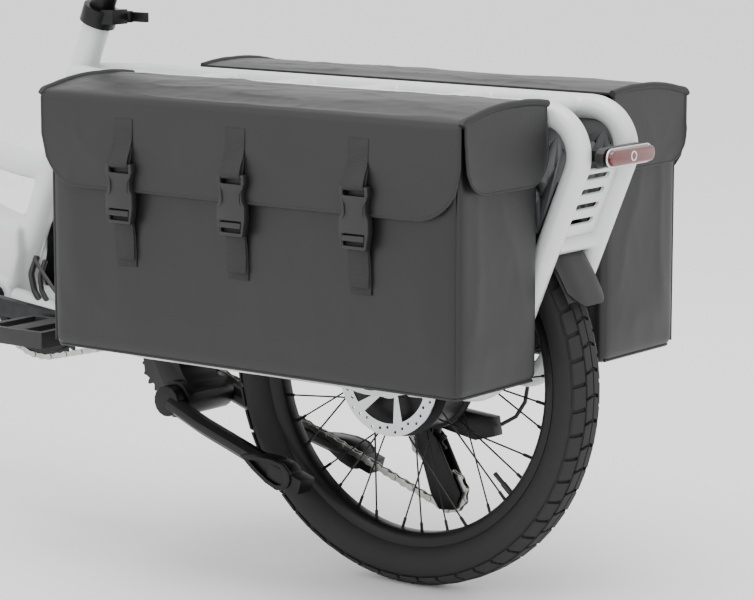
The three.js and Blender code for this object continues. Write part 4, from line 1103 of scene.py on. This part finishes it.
# %% Disc rotors
def disc_rotor(name, centre, y, body):
    outline = circle(70, 96)
    window = []
    for i in range(6):
        a0, a1 = math.tau * i / 6 + 0.12, math.tau * (i + 1) / 6 - 0.12
        outer = [(55 * math.cos(a0 + (a1 - a0) * k / 8 + 0.25), 55 * math.sin(a0 + (a1 - a0) * k / 8 + 0.25))
                 for k in range(9)]
        inner_arc = [(25 * math.cos(a1 - (a1 - a0) * k / 8), 25 * math.sin(a1 - (a1 - a0) * k / 8))
                     for k in range(9)]
        window.append(outer + inner_arc)
    for i in range(36):
        a = math.tau * i / 36
        r = 59.5 + 2.7 * (i % 3)
        window.append(circle(1.9, 10, r * math.cos(a), r * math.sin(a)))
    bore = circle(14.5, 32)
    rotor = plate(outline, y - 1, y + 1, [bore, *window], 0)
    for vertex in rotor.data.vertices:
        vertex.co += Vector((centre[0] / 1000, 0, centre[1] / 1000))
    settle(rotor, name + "_slotted", machined_steel, body)
    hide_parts(name)


disc_rotor("rear_rotor", (0, WHEEL_RADIUS), 48, "rear_wheel")
disc_rotor("front_rotor", (WHEELBASE, WHEEL_RADIUS), 39, "front_wheel")
for node in ("rear_caliper", "front_caliper", "derailleur", "kickstand_bracket"):
    refine(node, black_anodised, 1.2, 30, 2)
refine("rear_axle", dark_steel, 0.5)

# %% The chain's line round its wheels
WHEELS = ((638, 287, 46, 1), (0, 254, 18, 1), (9, 162, 11, -1), (-21, 104, 11, 1), (425, 205, 17, -1))
PITCH = 12.7


def pitch_radius(teeth):
    return PITCH / (2 * math.sin(math.pi / teeth))


def chain_line():
    radii = [side * pitch_radius(teeth) for _, _, teeth, side in WHEELS]
    count = len(WHEELS)
    headings = []
    for i, (x, z, _, _) in enumerate(WHEELS):
        nx, nz = WHEELS[(i + 1) % count][:2]
        lean = math.asin((radii[i] - radii[(i + 1) % count]) / math.hypot(nx - x, nz - z))
        headings.append(math.atan2(nz - z, nx - x) + lean)
    line = []
    for i, (x, z, _, side) in enumerate(WHEELS):
        turn = headings[i] - headings[i - 1]
        while turn * side < 0:
            turn += math.tau * side
        steps = max(2, math.ceil(abs(turn) / 0.05))
        for k in range(steps + 1):
            a = headings[i - 1] + turn * k / steps
            line.append((x + radii[i] * math.sin(a), z - radii[i] * math.cos(a)))
    return line


def spaced(line, count):
    """Points at even steps round a closed line, with the line's direction there."""
    closed = line + line[:1]
    lengths = [math.dist(a, b) for a, b in zip(closed, closed[1:])]
    step, places, travelled, i = sum(lengths) / count, [], 0.0, 0
    for n in range(count):
        while travelled + lengths[i] < n * step:
            travelled += lengths[i]
            i += 1
        a, b = closed[i], closed[i + 1]
        t = (n * step - travelled) / max(lengths[i], 1e-9)
        places.append((a[0] + (b[0] - a[0]) * t, a[1] + (b[1] - a[1]) * t, math.atan2(b[1] - a[1],
                                                            b[0] - a[0])))
    return places


# %% Chain links
def link_outline():
    """One side plate: two round ends with a waist."""
    half = PITCH / 2
    right = [(half + 3.9 * math.cos(a), 3.9 * math.sin(a)) for a in [math.radians(d) for d in range(-105,
                                                            106, 30)]]
    left = [(-x, -z) for x, z in right]
    return right + [(0, 2.7)] + left + [(0, -2.7)]


line_length = sum(math.dist(a, b) for a, b in zip(chain_line(), chain_line()[1:]))
LINK_COUNT = 2 * round(line_length / PITCH / 2)
outer_link = join([plate(link_outline(), s * 3.5 - 0.45, s * 3.5 + 0.45, bevel=0) for s in (1, -1)]
                  + [tube([(x, -4, 0), (x, 4, 0)], 1.9, resolution=2) for x in (-PITCH / 2, PITCH / 2)])
inner_link = join([plate(link_outline(), s * 2.4 - 0.45, s * 2.4 + 0.45, bevel=0) for s in (1, -1)]
                  + [tube([(x, -2.2, 0), (x, 2.2, 0)], 3.2, resolution=2) for x in (-PITCH / 2, PITCH / 2)])
links = []
for i, (x, z, heading) in enumerate(spaced(chain_line(), LINK_COUNT)):
    turn = Matrix.Translation(Vector((x / 1000, -0.047, z / 1000))) @ Matrix.Rotation(-heading, 4, "Y")
    source = outer_link if i % 2 else inner_link
    to_origin = Matrix.Translation(-place(0, 0, 0))
    links.append(duplicate(source, Matrix.Translation(place(0, 0, 0)) @ turn @ to_origin))
for spare in (outer_link, inner_link):
    bpy.data.objects.remove(spare)
chain = join(links)
settle(chain, "chain_links", nickel_plate, "frame")
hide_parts("chain")
print("chain:", LINK_COUNT, "links,", len(chain.data.polygons), "faces")


# %% Sprockets with teeth
def sprocket(centre, teeth, y, half, bore, holes=(), spin=0.0):
    outline = []
    r = pitch_radius(teeth)
    for i in range(teeth):
        for share, height in ((0.0, 3.6), (0.14, 2.4), (0.34, -2.4), (0.5, -3.4), (0.66, -2.4), (0.86, 2.4)):
            a = math.tau * (i + share) / teeth + spin
            outline.append(((r + height) * math.cos(a), (r + height) * math.sin(a)))
    wheel = plate(outline, y - half, y + half, [circle(bore, 32), *holes], 0)
    for vertex in wheel.data.vertices:
        vertex.co += Vector((centre[0] / 1000, 0, centre[1] / 1000))
    return wheel


def guard_ring(y, radius, width, half):
    ring = turned([(radius - width, y - half), (radius, y - half), (radius, y + half), (radius - width,
                                                            y + half)],
                  (BRACKET[0], 0, BRACKET[2]))
    soften(ring, 0.6, 2)
    return ring


windows = [circle(17, 24, 58 * math.cos(math.tau * i / 5), 58 * math.sin(math.tau * i / 5)) for i in range(5)]
chainring = sprocket((638, 287), 46, -47, 1.6, 13.2, windows)
chainring_centre = turned([(13.2, -61), (30, -61), (30, -45), (13.2, -45)], (638, 0, 287))
ring_set = join([chainring, chainring_centre])
settle(ring_set, "chainring_toothed", dark_steel, "crankset")
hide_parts("chainring")
rings = join([guard_ring(-41.2, 87, 12, 0.9), guard_ring(-52.8, 87, 12, 0.9)])
settle(rings, "chain_guard_rings", black_anodised, "crankset")
cogs = [sprocket((0, 254), 18, -47, 1.6, 21)]
for step, teeth in enumerate((15, 13, 12)):
    cogs.append(sprocket((0, 254), teeth, -51.5 - step * 3.6, 0.9, 21))
cogs.append(turned([(15, -58), (21.2, -58), (21.2, -38), (15, -38)], (0, 0, 254)))
cassette = join(cogs)
settle(cassette, "cassette_cogs", nickel_plate, "cassette")
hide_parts("cassette")
for name, at, teeth, bore, material in (("guide_pulley", (9, 162), 11, 4, black_nylon),
                                        ("tension_pulley", (-21, 104), 11, 4, black_nylon),
                                        ("idler_sprocket", (425, 205), 17, 6, dark_steel)):
    pulley = sprocket(at, teeth, -47, 1.8, bore)
    settle(pulley, name + "_toothed", material, name)
    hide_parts(name)

# %% Cranks, pedals and reflectors
for side in ("left", "right"):
    refine(side + "_crank", dark_steel, 3.0, 30, 3)
    refine(side + "_pedal", black_nylon, 1.4, 30, 2)
    low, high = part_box(side + "_pedal")
    x, y, z = ((low.x + high.x) / 2 - AXLE_X) * 1000, (low.y + high.y) * 500, (low.z + high.z) * 500
    half = (high.x - low.x) * 500
    tiles = [rounded_box(*sorted((x + s * (half - 1.5), x + s * (half + 1.2))), y - 20, y + 20, z - 5,
                         z + 5, 1)
             for s in (1, -1)]
    reflectors = join(tiles)
    settle(reflectors, side + "_pedal_reflectors", amber_lens, side + "_pedal")

# %% [markdown]
# ## Stand, seat and cockpit
# The remaining pieces are cast or moulded. Their edges are rounded by a few tenths of a millimetre for
# a forging, and by one or two for a casting, so that they catch a line of light.

# %% Stand, clamp and lever
refine("kickstand", black_anodised, 1.6, 30, 3)
STAND_PIVOT = (332, 187)
STAND_FOOT = (137, 124)
lean = math.atan2(STAND_PIVOT[1] - STAND_FOOT[1], STAND_PIVOT[0] - STAND_FOOT[0])
half_foot = [(60, 0), (38, 9), (14, 15.5), (-4, 17), (-15, 12), (-19.5, 4)]
outline = half_foot + [(a, -b) for a, b in reversed(half_foot[1:])]
foot_line = [(STAND_FOOT[0] + a * math.cos(lean) - b * math.sin(lean),
              STAND_FOOT[1] + a * math.sin(lean) + b * math.cos(lean)) for a, b in outline]
recess = [(STAND_FOOT[0] + (a * 0.72 + 2) * math.cos(lean) - b * 0.66 * math.sin(lean),
           STAND_FOOT[1] + (a * 0.72 + 2) * math.sin(lean) + b * 0.66 * math.cos(lean)) for a, b in outline]
feet = []
for side in (1, -1):
    rim_y = sorted((side * 81, side * 86))
    feet += [plate(foot_line, *sorted((side * 60, side * 81)), bevel=1.5), plate(foot_line, *rim_y,
                                                            [recess], 1)]
feet = join(feet)
settle(feet, "kickstand_feet", black_anodised, "kickstand")
refine("seat_clamp", black_anodised, 1.2, 30, 2)
refine("quick_release_lever", black_anodised, 1.2, 30, 3)
refine("seatpost", black_anodised, 0.8, 30, 2)
for node in ("rear_brake_hose", "shift_housing"):
    refine(node, black_nylon, 0)

# %% Two cables out of the port at the seat tube's foot
cables = join([tube([(588, 14, 338), (586, 28, 318), (578, 30, 296), (560, 32, 276)], 4.2, 14, resolution=4),
               tube([(574, 14, 334), (570, 28, 316), (566, 30, 298), (548, 32, 277)], 3.4, 14, resolution=4)])
settle(cables, "port_cables", black_nylon, "frame", 60)

# %% Saddle
saddle = refine("saddle", saddle_vinyl, 0)
modify(saddle, "REMESH", mode="VOXEL", voxel_size=0.004)
modify(saddle, "SMOOTH", factor=0.5, iterations=30)
for face in saddle.data.polygons:
    face.use_smooth = True

# %% Cockpit
for node in ("stem", "front_light", "handlebar", "display", "shifter_body", "shift_lever", "left_lever_clamp",
             "right_lever_clamp", "left_brake_lever", "right_brake_lever", "battery_pack"):
    refine(node, black_nylon if node in ("display", "front_light", "battery_pack") else black_anodised, 1.2,
           30, 3)
for node in ("left_grip", "right_grip"):
    refine(node, grip_rubber, 1.2, 30, 3)
refine("fork", powder_coat, 1.5, 30, 3)

# %% [markdown]
# ## The floor
# A pale seamless floor stands in for the studio.

# %% Floor
bpy.ops.object.select_all(action="DESELECT")
bpy.ops.mesh.primitive_plane_add(size=30, location=(0, 0, -0.0005))
floor = bpy.context.object
floor.name = "studio_floor"
studio = finish("studio_floor", "#fbfbfb", "#f9f9f9", 0.6, 30, 0.01, 900, 0.05)
floor.data.materials.append(studio)
